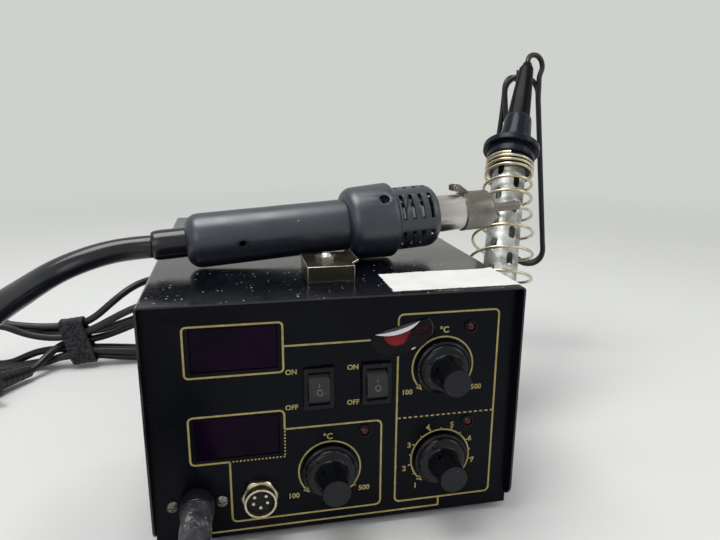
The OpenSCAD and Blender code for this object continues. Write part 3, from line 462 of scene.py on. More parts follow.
paint = {
    "case": newFinish("gloss black enamel", colour=(0.0014, 0.0018, 0.0042),
        tone=((0.0028, 0.0034, 0.0068), 14), rough=(0.13, 0.24, 26), specular=0.55,
        dust=((0.4, 0.41, 0.43), 430, 0.5, 0.3), topOnly=0.3, scuff=((0.04, 0.043, 0.052), 58, 0.46),
        grain=(0.05, 420)),
    "panel": newFinish("black panel enamel", colour=(0.0009, 0.0013, 0.0038),
        tone=((0.002, 0.0026, 0.006), 16), rough=(0.22, 0.32, 30), specular=0.1,
        dust=((0.16, 0.16, 0.17), 330, 0.1, 0.24), scuff=((0.016, 0.017, 0.02), 42, 0.3), grain=(0.05, 420)),
    "zinc": newFinish("zinc plated screws", colour=(0.3, 0.285, 0.25), tone=((0.1, 0.09, 0.075), 420),
        rough=(0.32, 0.52, 45), metal=1.0, grain=(0.15, 1500)),
    "restScrew": newFinish("bright plated screw", colour=(0.78, 0.77, 0.73), tone=((0.6, 0.58, 0.52), 300),
        rough=(0.24, 0.36, 45), metal=1.0),
    "rubberFeet": newFinish("rubber feet", colour=(0.02, 0.02, 0.021), rough=0.8,
        dust=((0.2, 0.19, 0.17), 400, 0.15), grain=(0.3, 1200)),
    "window": newFinish("smoked red acrylic", colour=(0.0026, 0.0006, 0.0048),
        tone=((0.008, 0.0009, 0.0125), 45), rough=(0.08, 0.16, 45), specular=0.06),
    "board": newFinish("green circuit board", colour=(0.012, 0.1, 0.035), tone=((0.02, 0.14, 0.05), 200),
        rough=0.4, grain=(0.2, 700)),
    "switch": newFinish("black switch plastic", colour=(0.0034, 0.0036, 0.005),
        tone=((0.007, 0.0072, 0.009), 120), rough=(0.36, 0.5, 45), specular=0.2,
        dust=((0.2, 0.2, 0.2), 500, 0.08, 0.25), grain=(0.12, 1600)),
    "rocker": newFinish("dark grey rocker plastic", colour=(0.017, 0.018, 0.02),
        tone=((0.027, 0.028, 0.031), 130), rough=(0.42, 0.55, 45), specular=0.35,
        dust=((0.2, 0.2, 0.2), 520, 0.14, 0.25), grain=(0.18, 1500)),
    "lens": newFinish("dark red lamp lens", colour=(0.02, 0.0014, 0.003), tone=((0.075, 0.004, 0.008), 420),
        rough=0.12, specular=0.3, coat=0.1, coatRough=0.04, grain=(0.5, 900), grainDepth=0.0004),
    "pot": newFinish("plated control shafts", colour=(0.5, 0.47, 0.4), tone=((0.36, 0.33, 0.27), 200),
        rough=0.38, metal=1.0, grain=(0.1, 1200)),
    "knob": newFinish("dark blue grey knob plastic", colour=(0.0022, 0.0027, 0.0044),
        tone=((0.006, 0.0068, 0.0098), 90), rough=(0.14, 0.3, 80), specular=0.27,
        dust=((0.2, 0.21, 0.23), 620, 0.25, 0.24), scuff=((0.07, 0.075, 0.085), 150, 0.36),
        grain=(0.14, 1300)),
    # the bevel faces of the knobs: rubbed plastic, and a painted highlight along the rims
    "knobRimWearAndHighlight": newFinish("rubbed knob edges with painted rim highlight", colour=(0.34, 0.345, 0.36), tone=((0.1, 0.105, 0.115), 260),
        rough=(0.3, 0.45, 45), specular=0.4),
    "nickel": newFinish("nickel plated socket", colour=(0.7, 0.64, 0.5), tone=((0.5, 0.43, 0.3), 170),
        rough=(0.18, 0.34, 45), metal=1.0, grain=(0.06, 1500)),
    "insert": newFinish("black socket insert", colour=(0.004, 0.004, 0.004),
        tone=((0.008, 0.008, 0.008), 300), rough=0.5, specular=0.25, grain=(0.2, 1500)),
    "brass": newFinish("tinned pins", colour=(0.82, 0.79, 0.7), tone=((0.66, 0.6, 0.45), 500), rough=0.3,
        metal=0.9),
    "bracket": newFinish("olive brown lacquer", colour=(0.013, 0.011, 0.006),
        tone=((0.032, 0.026, 0.014), 60), rough=(0.2, 0.34, 45), specular=0.3,
        dust=((0.35, 0.34, 0.32), 380, 0.1), scuff=((0.3, 0.28, 0.22), 120, 0.16)),
    # the bracket's bevel faces: bare metal, and a painted highlight along the bends
    "bracketEdgeWearAndHighlight": newFinish("bare sheet edges with painted bend highlight", colour=(0.8, 0.77, 0.66), tone=((0.56, 0.52, 0.42), 300),
        rough=0.36, metal=0.55),
    "galvanised": newFinish("stained galvanised steel", colour=(0.56, 0.58, 0.56),
        tone=((0.24, 0.24, 0.215), 85), contrast=0.62, rough=(0.3, 0.56, 45), metal=0.85,
        scuff=((0.07, 0.06, 0.045), 150, 0.5), grain=(0.25, 500)),
    "spring": newFinish("brassy spring wire", colour=(0.72, 0.66, 0.49), tone=((0.46, 0.4, 0.27), 190),
        rough=(0.16, 0.3, 45), metal=1.0),
    "core": newFinish("dark core steel", colour=(0.06, 0.06, 0.065), tone=((0.1, 0.09, 0.085), 120),
        rough=0.55, metal=0.6, grain=(0.4, 260), grainStretch=(1.0, 12, 1.0)),
    "winding": newFinish("amber winding tape", colour=(0.42, 0.2, 0.02), tone=((0.5, 0.28, 0.05), 60),
        rough=0.3, coat=0.2, grain=(0.3, 240), grainStretch=(1.0, 1.0, 9)),
    "silicone": newFinish("milky silicone tube", colour=(0.62, 0.6, 0.52), tone=((0.55, 0.52, 0.43), 80),
        rough=0.45),
    "pump": newFinish("dark pump plastic", colour=(0.025, 0.026, 0.03), tone=((0.04, 0.04, 0.044), 90),
        rough=0.45, grain=(0.25, 900)),
    "cord": newFinish("black cord sheath", colour=(0.0045, 0.0048, 0.008), tone=((0.009, 0.0096, 0.014), 60),
        rough=(0.32, 0.46, 90), specular=0.4, dust=((0.24, 0.24, 0.24), 480, 0.06, 0.25), grain=(0.12, 1300)),
    "hose": newFinish("black hose", colour=(0.0042, 0.0045, 0.008), tone=((0.009, 0.0096, 0.0145), 45),
        rough=(0.16, 0.26, 60), specular=0.5, dust=((0.2, 0.21, 0.22), 520, 0.1, 0.24),
        scuff=((0.03, 0.031, 0.038), 70, 0.3), grain=(0.08, 1000)),
    "sleeve": newFinish("scuffed grey sleeve", colour=(0.02, 0.021, 0.025), tone=((0.06, 0.062, 0.066), 130),
        contrast=0.6, rough=(0.46, 0.62, 45), dust=((0.42, 0.42, 0.42), 560, 0.5, 0.3),
        scuff=((0.36, 0.36, 0.35), 190, 0.8), grain=(0.4, 900), place=panelFrame(-72.3, 25.1)),
    "strap": newFinish("fuzzy strap", colour=(0.0025, 0.0025, 0.0042), tone=((0.036, 0.036, 0.044), 430),
        contrast=0.95, rough=0.95, sheen=0.12, sheenRough=0.5, dust=((0.3, 0.3, 0.3), 700, 0.14),
        grain=(1.0, 750), grainDepth=0.0012),
    "gun": newFinish("navy black gun plastic", colour=(0.011, 0.0145, 0.027),
        tone=((0.018, 0.0235, 0.039), 34), rough=(0.3, 0.42, 50), specular=0.85,
        dust=((0.28, 0.29, 0.31), 340, 0.07, 0.24), scuff=((0.05, 0.054, 0.068), 60, 0.24),
        grain=(0.18, 1500)),
    "barrel": newFinish("heat tinted barrel", colour=(0.72, 0.7, 0.665), tone=((0.58, 0.56, 0.53), 60),
        rough=(0.22, 0.36, 45), metal=1.0, grain=(0.1, 500), grainStretch=(0.2, 0.2, 6), heat=(68, 18),
        heatBlot=0.35, place=gunFrame),
    "nozzle": newFinish("grey tinted nozzle", colour=(0.25, 0.24, 0.215), tone=((0.15, 0.135, 0.11), 60),
        rough=(0.22, 0.36, 45), metal=1.0, grain=(0.35, 420), grainStretch=(0.15, 0.15, 9), heat=(66, 92),
        heatBlot=0.3, place=gunFrame),
    "clampSteel": newFinish("dull clamp steel", colour=(0.3, 0.285, 0.26), tone=((0.15, 0.135, 0.115), 300),
        rough=0.4, metal=1.0),
    "ceramic": newFinish("white ceramic", colour=(0.62, 0.58, 0.5), tone=((0.5, 0.43, 0.34), 120), rough=0.85,
        grain=(0.3, 900)),
    "ironPlastic": newFinish("black iron plastic", colour=(0.0016, 0.0018, 0.0021),
        tone=((0.0038, 0.0043, 0.0044), 70), rough=(0.2, 0.3, 45), specular=0.07,
        dust=((0.22, 0.22, 0.23), 480, 0.08, 0.24), grain=(0.14, 1200)),
    "collar": newFinish("blue black collar plastic", colour=(0.0042, 0.0055, 0.0125),
        tone=((0.0088, 0.011, 0.0205), 90), rough=(0.22, 0.34, 45), specular=0.17,
        dust=((0.24, 0.25, 0.28), 460, 0.12, 0.28), grain=(0.1, 1200)),
    "steel": newFinish("plain steel", colour=(0.5, 0.5, 0.51), tone=((0.34, 0.33, 0.32), 150),
        rough=(0.3, 0.42, 45), metal=1.0, grain=(0.08, 900)),
    "tip": newFinish("tinned tip", colour=(0.55, 0.54, 0.52), tone=((0.12, 0.1, 0.09), 320), rough=0.35,
        metal=1.0),
    "plug": newFinish("black plug rubber", colour=(0.0048, 0.0052, 0.0078), tone=((0.01, 0.0105, 0.014), 90),
        rough=0.36, specular=0.4, grain=(0.25, 900)),
    "gold": newFinish("gold print", colour=(0.5, 0.42, 0.17), tone=((0.34, 0.275, 0.085), 260), rough=0.45,
        specular=0.3, scuff=((0.08, 0.07, 0.035), 240, 0.34)),
    "greyInk": newFinish("grey rocker mark", colour=(0.2, 0.2, 0.2), tone=((0.12, 0.12, 0.12), 500),
        rough=0.6, specular=0.2),
    "paper": newFinish("paper label", colour=(0.82, 0.81, 0.78), tone=((0.74, 0.73, 0.69), 60), rough=0.8,
        dust=((0.62, 0.42, 0.37), 520, 0.16, 0.24), grain=(0.3, 500)),
    "film": newFinish("dark clear film", colour=(0.0022, 0.0016, 0.0024), tone=((0.0055, 0.0042, 0.0058), 60),
        rough=(0.05, 0.14, 90), specular=0.12),
    # painted highlight: the curled film lip and the glint on it are coloured near white where they catch the
    # light
    "filmLipHighlight": newFinish("painted highlight on curled film lip", colour=(0.86, 0.87, 0.87), tone=((0.7, 0.71, 0.72), 190),
        rough=0.3, specular=0.4),
    # painted sheen: the grey lower band of the lip and the pale rim arc stand for light on the film's curl
    # and edge
    "filmCurlSheen": newFinish("painted grey sheen on film curl", colour=(0.13, 0.13, 0.14), tone=((0.03, 0.03, 0.035), 260),
        rough=0.22, specular=0.3),
    # painted glow: a bright red patch standing for the red window lit below the curled lip
    "paintedRedGlow": newFinish("painted red glow under film", colour=(0.3, 0.01, 0.018), tone=((0.085, 0.003, 0.008), 150),
        rough=0.12, specular=0.2),
    "darkRed": newFinish("dark painted red glow under film", colour=(0.026, 0.001, 0.003),
        tone=((0.007, 0.0008, 0.0022), 240), rough=0.1, specular=0.12),
}
print("materials made", len(paint))

# cords

hose = {
    "diameter": 12.5, "sides": 20,
    "toTable": [(-92.0, 66.9, 143.65), (-101, 66.7, 143.1), (-110, 65.2, 142.3), (-119, 61.8, 140.9),
                (-127.3, 56.7, 139), (-134.4, 50.1, 137), (-140, 42.2, 134.9), (-145, 30, 132.7),
                (-149.4, 12, 131.2), (-153, -3, 129), (-158, -16, 124), (-163, -29, 116), (-168, -41, 105),
                (-174, -54, 92), (-179, -66, 78), (-185, -79, 64), (-190, -92, 49), (-195, -104, 36.4),
                (-199.6, -115.5, 26.6), (-203.8, -128, 17.8), (-206.6, -142, 10.2)],
    "coilCentre": (-140, -160), "coilStart": 68.0, "coilStep": 12.8, "coilFrom": 186, "coilTo": 721,
    "every": 24.0, "lie": 6.35, "climb": 7.4, "climbFrom": 620, "climbOver": 100,  # degrees and millimetres
    "toPanel": [(-90.8, -146, 16.4), (-89.7, -131, 19.4), (-87.3, -116, 20.6), (-83.6, -98, 21.6),
                (-79, -80, 23), (-75.4, -63, 24.5), (-73, -51, 25.05), (-72.3, -38, 25.1)],
}


def hoseLine(h):
    # flat spiral on the table: the radius falls by coilStep a turn, and its inner end climbs over the rest
    degrees = np.arange(h["coilFrom"], h["coilTo"], h["every"])
    turn, r = np.radians(degrees), h["coilStart"] - h["coilStep"] * (degrees - 180) / 360
    rise = np.clip((degrees - h["climbFrom"]) / h["climbOver"], 0, 1)
    z = h["lie"] + h["climb"] * rise * rise * (3 - 2 * rise)
    x, y = h["coilCentre"]
    coil = np.stack([x + r * np.cos(turn), y + r * np.sin(turn), z], axis=1)
    return evenly(splineThrough(np.vstack([h["toTable"], coil, h["toPanel"]]), 2.0), 3.2)


near, far, back = 258.9, 265.1, 271.4  # the three planes that the loops lie in
mainsLead = {
    "diameter": 6.2, "sides": 14, "clear": 0.05,  # clear: height over the table where it lies on it
    "points": [
        (-64, 268.6, 62), (-64, 273, 62), (-66, 282, 62.2), (-71.3, 289.9, 62.9), (-79.4, 295.3, 64),
        (-89, 297.2, 65.4), (-104, 295.5, 67.3), (-118, 290, 68.2), (-131, 281.5, 67), (-142, 273.8, 62.6),
        (-152, 268.4, 56), (-162, 265.9, 48), (-172, far, 41), (-184, far, 37.2), (-199, far, 36.2),
        (-215, far, 36.9), (-231, far, 39.2), (-249.9, far, 41.8), (-260, far, 40), (-267.7, far, 33.2),
        (-270.9, far, 23.4), (-268.6, far, 13.4), (-261.5, far, 6), (-251.6, far, 3.3), (-232, far, 3.4),
        (-214, far, 5.4), (-199, far, 8), (-184, far, 9), (-169, far, 8), (-150, far, 5.2),
        (-125, far, 3.4), (-102, far, 3.3), (-84.5, far, 3.4), (-67.3, far, 10.5), (-60.2, far, 27.7),
        (-67.3, far, 44.9), (-84.5, 264.9, 52.2), (-101, 263.8, 54.4), (-118, 262, 54.2), (-136, 260.2, 50),
        (-152, 259.1, 43), (-164, near, 37), (-174, near, 32.6), (-186, near, 29.4), (-199, near, 28.5),
        (-213, near, 30.4), (-227, near, 35.4), (-239.5, near, 41), (-250.5, near, 41.2),
        (-259.8, near, 35.5), (-264.6, near, 25.6), (-263.1, near, 14.7), (-256, near, 6.4),
        (-245.5, near, 3.3), (-230, near, 3.5), (-214, near, 5.8), (-199, near, 10.4), (-184, near, 14),
        (-169, near, 14.8), (-152, near, 13.4), (-132, near, 11.4), (-112, near, 9.2), (-96.8, near, 8.6),
        (-87, near, 11.3), (-79.9, near, 18.5), (-77.4, near, 28.3), (-80.2, near, 38.1),
        (-87.6, near, 45.1), (-97.5, near, 47.4), (-111, 259.6, 46.4), (-126, 261.3, 43.6),
        (-141, 263.4, 38.4), (-154, 264.7, 34.2), (-165, far, 31.4), (-174, far, 30.3), (-186, far, 30),
        (-198, 265.6, 29.8), (-208, 267.6, 30.2), (-218, 270.2, 31.6), (-229, back, 34.2),
        (-239, back, 38.6), (-246.4, back, 41.6), (-256.9, back, 40.5), (-265.3, back, 34.1),
        (-269, back, 24.3), (-267, back, 13.9), (-259.9, back, 6.2), (-249.8, back, 3.3), (-239, back, 4.6),
        (-228, 271.2, 9), (-218, 269.8, 12.6), (-208, 267.2, 14.8), (-197, far, 15.8), (-184, far, 16),
        (-171, 265.3, 15.4), (-161, 267, 14), (-150, 269.8, 12), (-138, back, 10), (-120, back, 7.8),
        (-103.8, back, 7.4), (-93.6, back, 10.3), (-86.5, back, 18.1), (-84.5, back, 28.5),
        (-88.2, back, 38.4), (-96.6, back, 44.8), (-107.2, back, 45.9), (-119, back, 42.4),
        (-129, back, 36.6), (-140, back, 31.4), (-149, 271.3, 28), (-158, 269.9, 25.2), (-167, 267.2, 23.6),
        (-176, far, 23), (-184, far, 22.9), (-192, 263.9, 21.8), (-198.5, 260.5, 19.6), (-204, 255.4, 16.6),
        (-208.4, 249.6, 13.3), (-212.6, 243.9, 10), (-216.9, 238.1, 8)],
}


def mainsLine(m):
    # one smooth curve through the points, kept just over the table
    line = evenly(splineThrough(m["points"], 1.0), 2.0)
    line[:, 2] = np.maximum(line[:, 2], m["diameter"] / 2 + m["clear"])
    return line


ironCord = {
    "diameter": 4.4, "sides": 12, "turns": 2.5, "halfRun": 69.0, "endRadius": 14.0, "layer": 4.5,
    "every": 6.0, "middle": (208.9, 238.5, 164.5), "across": (-0.896, 0.445, 0.0),
    "up": (-0.078, 0.078, 0.994),
    "over": [(199.1, 227.3, 255.7), (200.5, 229.4, 259.1), (202.5, 231.3, 261.9), (205.7, 232.8, 263.5),
             (209.4, 234, 263.7), (213, 235, 262.3), (215.7, 235.6, 259.6), (217.1, 235.7, 255.9),
             (217.2, 235.6, 253.7), (214.9, 234.6, 247.5), (214.3, 233.6, 240.5)],
    "drop": [(193.2, 256.2, 235.4), (194.2, 257.4, 240.8), (197.4, 259.1, 245.2), (202.3, 261, 247),
             (207.3, 262.4, 245.2), (210.7, 263, 240.6), (211.6, 263, 233.6), (211, 263, 222),
             (209.2, 263, 206), (206.6, 263, 187), (204.5, 263, 168), (204, 263, 146)],
}


def ironCordLine(c):
    # loops about a long oval: down one side, round the end, up the other, each turn a layer behind the last
    run, r = c["halfRun"], c["endRadius"]
    side, end = 2 * run, math.pi * r
    s = np.arange(0, c["turns"] * 2 * (side + end) + 0.1, c["every"])
    q = np.mod(s, 2 * (side + end))
    a1, a2 = (q - side) / r, (q - 2 * side - end) / r
    where = [q < side, q < side + end, q < 2 * side + end]
    u = np.select(where, [-r + 0 * q, -r * np.cos(a1), r + 0 * q], r * np.cos(a2))
    w = np.select(where, [run - q, -run - r * np.sin(a1), -run + (q - side - end)], run + r * np.sin(a2))
    behind = np.cross(c["across"], c["up"])
    n = c["layer"] * (s / (2 * (side + end)) - c["turns"] / 2)
    loops = c["middle"] + np.outer(u, c["across"]) + np.outer(w, c["up"]) + np.outer(n, behind)
    loops = loops[(s > 3) & (s < s[-1] - 3)]
    return evenly(splineThrough(np.vstack([c["over"], loops, c["drop"]]), 1.0), 1.6)


def cordPiece(name, line, c, finish, body, *nodes):
    piece = tubePiece(name, placed(line), c["diameter"] * 0.5 * mm, c["sides"], paint[finish])
    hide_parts(*nodes)
    if body:
        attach(piece, body)
    return piece


def lengthOf(line):  # metres
    return round(float(np.linalg.norm(np.diff(line, axis=0), axis=1).sum()) * mm, 2)


hosePoints, mainsPoints, ironPoints = hoseLine(hose), mainsLine(mainsLead), ironCordLine(ironCord)
hosePiece = cordPiece("gunHose", hosePoints, hose, "hose", None, "gun_hose", "hose_coil", "hose_lead")
mainsPiece = cordPiece("mainsLead", mainsPoints, mainsLead, "cord", "station",
                       "mains_cord", "mains_hank", "plug_lead")
ironCordPiece = cordPiece("ironCord", ironPoints, ironCord, "cord", "iron", "iron_cord", "iron_hank")
print("cords", lengthOf(hosePoints), lengthOf(mainsPoints), lengthOf(ironPoints))

strap = {"middle": (-182.6, 262.0, 23.6), "width": 19.0, "halfThick": 8.1, "halfTall": 19.6, "thick": 1.7,
         "rise": 0.09, "slant": -0.24, "square": 0.45, "lap": 0.16, "lapAt": 1.3 * np.pi, "lapHalf": 0.85,
         "fray": 0.5, "pinch": 0.03, "pinchUp": 0.4, "fuzz": 0.026, "clear": (0.1, 0.9),
         "around": 120, "along": 33}


def squared(wave, power):  # a cosine or sine with fuller shoulders
    return np.sign(wave) * np.abs(wave) ** power


def frayed(seed, n):  # a soft random line that meets itself
    line = np.random.default_rng(seed).normal(0, 1, n)
    return np.convolve(np.tile(line, 3), np.hanning(7) / 3, "same")[n:2 * n]


def strapPiece(s):
    # a closed band: a squared-off oval carried along x, its edges wandering, a second lap on the front
    a = np.linspace(0, 2 * np.pi, s["around"], endpoint=False)
    v = np.linspace(-1, 1, s["along"])[:, None]
    lap = 1 + s["lap"] * (np.abs(np.angle(np.exp(1j * (a - s["lapAt"])))) < s["lapHalf"])
    edges = np.where(v < 0, frayed(3, s["around"]), frayed(4, s["around"])) * s["fray"]
    x = s["width"] / 2 * v + edges * np.abs(v) ** 3
    fuzz = s["fuzz"] * np.random.default_rng(5).normal(0, 1, (s["along"], s["around"]))
    pinch = 1 - s["pinch"] * (1 - v ** 2) + fuzz
    outY, outZ = squared(np.cos(a), s["square"]), squared(np.sin(a), s["square"])
    y = s["halfThick"] * outY * lap * pinch
    z = s["halfTall"] * outZ * (1 + (pinch - 1) * s["pinchUp"]) + s["rise"] * x
    shell = np.stack([x + s["slant"] * z, y, z], axis=-1)
    inner = shell - np.stack([0 * a, s["thick"] * outY, s["thick"] * outZ], axis=-1)
    for side, clear in zip((shell, inner), s["clear"]):  # neither goes into the table
        side[..., 2] = np.maximum(side[..., 2], clear - s["middle"][2])
    rings = placed(np.concatenate([shell, inner[::-1]]) + s["middle"])
    faces = gridFaces(2 * s["along"], s["around"], roundRows=True)
    piece = pieceFromFaces("leadStrap", rings, faces, paint["strap"])
    mend(piece)
    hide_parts("hank_tie")
    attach(piece, "station")
    return piece


strapTie = strapPiece(strap)
plugBody = dressed("mains_plug", paint["plug"], 0.3, 35)
ironPlug = dressed("iron_plug", paint["nickel"], 0.3, 35)
band = {"middle": (202.4, 245.0, 247.3), "wide": 10.6, "tall": 3.6, "width": 7.0, "thick": 0.9, "square": 0.5}


def bandPiece(t):
    # a flat band about the strands where they pass over the top of the hank
    across, up = np.array(ironCord["across"]), np.array(ironCord["up"])
    a, v = np.linspace(0, 2 * np.pi, 48, endpoint=False), np.linspace(-0.5, 0.5, 9)
    outer, inner = [v[:, None, None] * t["width"] * across
                    + np.outer((t["wide"] + grow) * squared(np.cos(a), t["square"]), np.cross(across, up))
                    + np.outer((t["tall"] + grow) * squared(np.sin(a), t["square"]), up)
                    for grow in (t["thick"], 0)]
    rings = placed(np.concatenate([outer, inner[::-1]]) + t["middle"])
    piece = pieceFromFaces("cordBand", rings, gridFaces(18, 48, roundRows=True), paint["strap"])
    mend(piece)
    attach(piece, "iron")
    return piece


cordBand = bandPiece(band)
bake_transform(hosePiece)

# print on the panel: x to the right, z up, millimetres

printed = {"line": 0.95, "thin": 0.8, "tick": 0.7, "lift": 0.06}


def cornered(x0, z1, x1, z0, r=2.0):
    # a rectangle's outline with round corners, closed
    a = np.radians(np.arange(0, 91, 15.0))
    middles = ((x1 - r, z1 - r), (x0 + r, z1 - r), (x0 + r, z0 + r), (x1 - r, z0 + r))
    arcs = [np.stack([x + r * np.cos(a + i * math.pi / 2), z + r * np.sin(a + i * math.pi / 2)], axis=1)
            for i, (x, z) in enumerate(middles)]
    line = np.concatenate(arcs)
    return np.vstack([line, line[:1]])


def ribbon(line, width):
    # two rows of points half a width to each side of the line, mitred at its corners
    line = np.asarray(line, float)
    d = np.diff(line, axis=0)
    d /= np.linalg.norm(d, axis=1)[:, None]
    closed = np.allclose(line[0], line[-1])
    before = np.vstack([d[-1:] if closed else d[:1], d])
    after = np.vstack([d, d[:1] if closed else d[-1:]])
    side = np.stack([-(before + after)[:, 1], (before + after)[:, 0]], axis=1)
    side /= np.linalg.norm(side, axis=1)[:, None]
    edge = np.stack([-before[:, 1], before[:, 0]], axis=1)
    side /= np.clip((side * edge).sum(axis=1), 0.5, 1)[:, None]
    return np.stack([line + side * width / 2, line - side * width / 2], axis=1)


def aboutKnob(at, r, degrees):  # points at a radius, turned clockwise from straight up
    a = np.radians(degrees)
    return np.stack([at[0] + r * np.sin(a), at[1] + r * np.cos(a)], axis=-1)


def dashes(start, end, dash, gap):
    start, end = np.array(start, float), np.array(end, float)
    long = np.linalg.norm(end - start)
    return [np.stack([start + (end - start) * s / long, start + (end - start) * min(s + dash, long) / long])
            for s in np.arange(0, long, dash + gap)]


def arrowHead(at, r, turn, way, long=3.6, wide=3.0):
    # a triangle whose tip lies on the arc; way is 1 clockwise and -1 the other way
    out = aboutKnob((0, 0), 1, turn)
    along = way * np.array([out[1], -out[0]])
    tip = aboutKnob(at, r, turn) + 0.45 * long * along
    return [tip, tip - long * along + out * wide / 2, tip - long * along - out * wide / 2]


def printPiece(name, lines, triangles, material):
    # lines as flat ribbons, and triangles, laid on the panel and turned to face out
    rows = [ribbon(line, width) for line, width in lines]
    parts = [(r.reshape(-1, 2), gridFaces(len(r), 2, roundColumns=False)) for r in rows]
    flat, faces = joined(parts + [(t, [[0, 1, 2]]) for t in triangles])
    full = np.stack([flat[:, 0], np.full(len(flat), panelY - printed["lift"]), flat[:, 1]], axis=1)
    piece = pieceFromFaces(name, placed(full), faces, material)
    with meshWork(piece.data) as work:
        bmesh.ops.reverse_faces(work, faces=[f for f in work.faces if f.normal.y > 0])
    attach(piece, "station")


def lettering(name, items, material, matrix):
    # each item is text, height and middle; flat letters laid in the frame's XY plane
    parts = []
    for text, height, x, y in items:
        curve = bpy.data.curves.new(name, "FONT")
        curve.body, curve.size, curve.offset, curve.resolution_u = text, 1.0, 0.03, 3
        holder = bpy.data.objects.new(name, curve)
        bpy.context.scene.collection.objects.link(holder)
        bpy.context.view_layer.update()
        flat = bpy.data.meshes.new_from_object(holder)
        bpy.data.objects.remove(holder)
        p = np.zeros(len(flat.vertices) * 3)
        flat.vertices.foreach_get("co", p)
        p = p.reshape(-1, 3)
        low, high = p.min(axis=0), p.max(axis=0)
        p = (p - (low + high) / 2) * height / (high[1] - low[1]) + (x, y, 0)
        parts.append((p, [list(f.vertices) for f in flat.polygons]))
        bpy.data.meshes.remove(flat)
    points, faces = joined(parts)
    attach(pieceFromFaces(name, into(matrix, points), faces, material), "station")


upperKnob, lowerKnob, ironKnob = (53.3, 88.3), (53.9, 36.3), (-5.6, 36)
outlines = [cornered(-74.67, 117.49, -28.16, 91.93), cornered(29.38, 117.55, 82.69, 12.16, 2.6),
            [(-28.28, 61.2), (-28.28, 69.5), (-29.0, 70.9), (-30.3, 71.53), (-72.45, 71.53), (-73.9, 70.9),
             (-74.45, 69.5), (-74.45, 48.1), (-73.9, 46.7), (-72.45, 46.1), (-55.7, 46.1)],
            [(-27.7, 105.2), (28.9, 105.2)],
            [(-28.2, 61.2), (19.0, 61.2), (20.65, 60.5), (21.35, 58.9), (21.35, 14.4), (20.65, 12.7),
             (18.9, 12.0), (-53.4, 12.0), (-55.0, 12.7), (-55.66, 14.3), (-55.66, 46.1)],
            [(-66.2, 7.0), (53.8, 7.0), (53.8, 11.7)]]
goldLines = [(line, printed["line"]) for line in outlines]
dashed = [((-28.28, 60.4), (-28.28, 46.1), 0.9, 0.9), ((-28.28, 46.1), (-55.2, 46.1), 0.9, 0.9),
          ((29.9, 61.1), (82.3, 61.1), 1.7, 1.3)]
for row in dashed:
    goldLines += [(d, printed["thin"]) for d in dashes(*row)]
scales = [{"at": upperKnob, "r": 16.2, "arc": (-131, 130), "tips": (-134, 134), "width": 0.85},
          {"at": ironKnob, "r": 16.0, "arc": (-131, 130), "tips": (-134, 134), "width": 0.85},
          {"at": lowerKnob, "r": 16.1, "arc": (-137, 132), "tips": (-139, 136), "width": 0.8}]
for k in scales:
    low, high = k["arc"]
    goldLines.append((aboutKnob(k["at"], k["r"], np.linspace(low, high, (high - low) // 4 + 2)), k["width"]))
for turns, long in ((range(-100, 101, 40), 1.5), (range(-120, 81, 40), 0.8)):
    for turn in turns:
        ends = [aboutKnob(lowerKnob, r, turn) for r in (16.1, 16.5 + long)]
        goldLines.append((ends, printed["tick"]))
arrows = [arrowHead(k["at"], k["r"], turn, way) for k in scales for turn, way in zip(k["tips"], (-1, 1))]
printPiece("goldLines", goldLines, arrows, paint["gold"])
words = [("100", 3.0, 35.0, 75.5), ("500", 3.0, 72.2, 75.5), ("°C", 3.6, 53.5, 108.3),
         ("100", 3.0, -24.0, 23.0), ("500", 3.0, 12.5, 23.2), ("°C", 3.6, -6.5, 55.0),
         ("ON", 2.8, -24.5, 91.5), ("OFF", 2.8, -24.5, 72.7), ("ON", 2.8, 6.2, 91.7), ("OFF", 2.8, 6.5, 72.7)]
steps = [(40.6, 20.6), (34.2, 31.6), (36.6, 45), (46.6, 54.4), (59.9, 54.6), (70.3, 45.6), (72.4, 32.4),
         (66.8, 21)]
words += [(str(i + 1), 3.2, x, z) for i, (x, z) in enumerate(steps)]
lettering("goldScale", words, paint["gold"], panelFrame(0, 0, panelY - printed["lift"]))
print("panel printed")

# case and panel pieces

casePieces = {
    "cover": ("case", 0.5), "chassis": ("panel", 0.25), "pan_screws": ("zinc", 0.12),
    "feet": ("rubberFeet", 0.3), "display_windows": ("window", 0.25), "iron_switch_body": ("switch", 0.25),
    "air_switch_body": ("switch", 0.25), "led_bezels": ("switch", 0.1), "socket_shell": ("nickel", 0.15),
    "socket_insert": ("insert", 0.1), "socket_pins": ("brass", 0.15), "hose_gland": ("plug", 0.3),
    "hose_sleeve": ("sleeve", 0.6), "mains_gland": ("plug", 0.2), "fuse_holder": ("switch", 0.2),
    "holder_bracket": ("galvanised", 0.3), "holder_tube": ("galvanised", 0.12),
    "holder_collar": ("collar", 0.3), "rest_screw": ("restScrew", 0.15)}
plainPieces = {
    "display_board": "board", "main_board": "board", "pot_bodies": "pot", "transformer_core": "core",
    "transformer_coil": "winding", "pump_housing": "pump", "air_tube": "silicone", "pump_arm": "steel",
    "air_temperature_shaft": "pot", "air_flow_shaft": "pot", "iron_temperature_shaft": "pot",
    "gun_heater": "ceramic", "iron_tip": "tip", "iron_barrel": "steel"}
for node, (finish, bevel) in casePieces.items():
    dressed(node, paint[finish], bevel)
# the rest bracket's bevel faces take the pale edge colour: bare metal and painted bend highlight
dressed("rest_bracket", paint["bracket"], 0.65, edge=paint["bracketEdgeWearAndHighlight"])
for node, finish in plainPieces.items():
    repaint(node, paint[finish])

knobs = {"places": {"air_temperature_knob": upperKnob, "air_flow_knob": lowerKnob,
                    "iron_temperature_knob": ironKnob}, "stemFrom": 7.5, "stemLong": 10.1, "longer": 4.4,
         "narrower": 0.055, "bevel": 0.5}


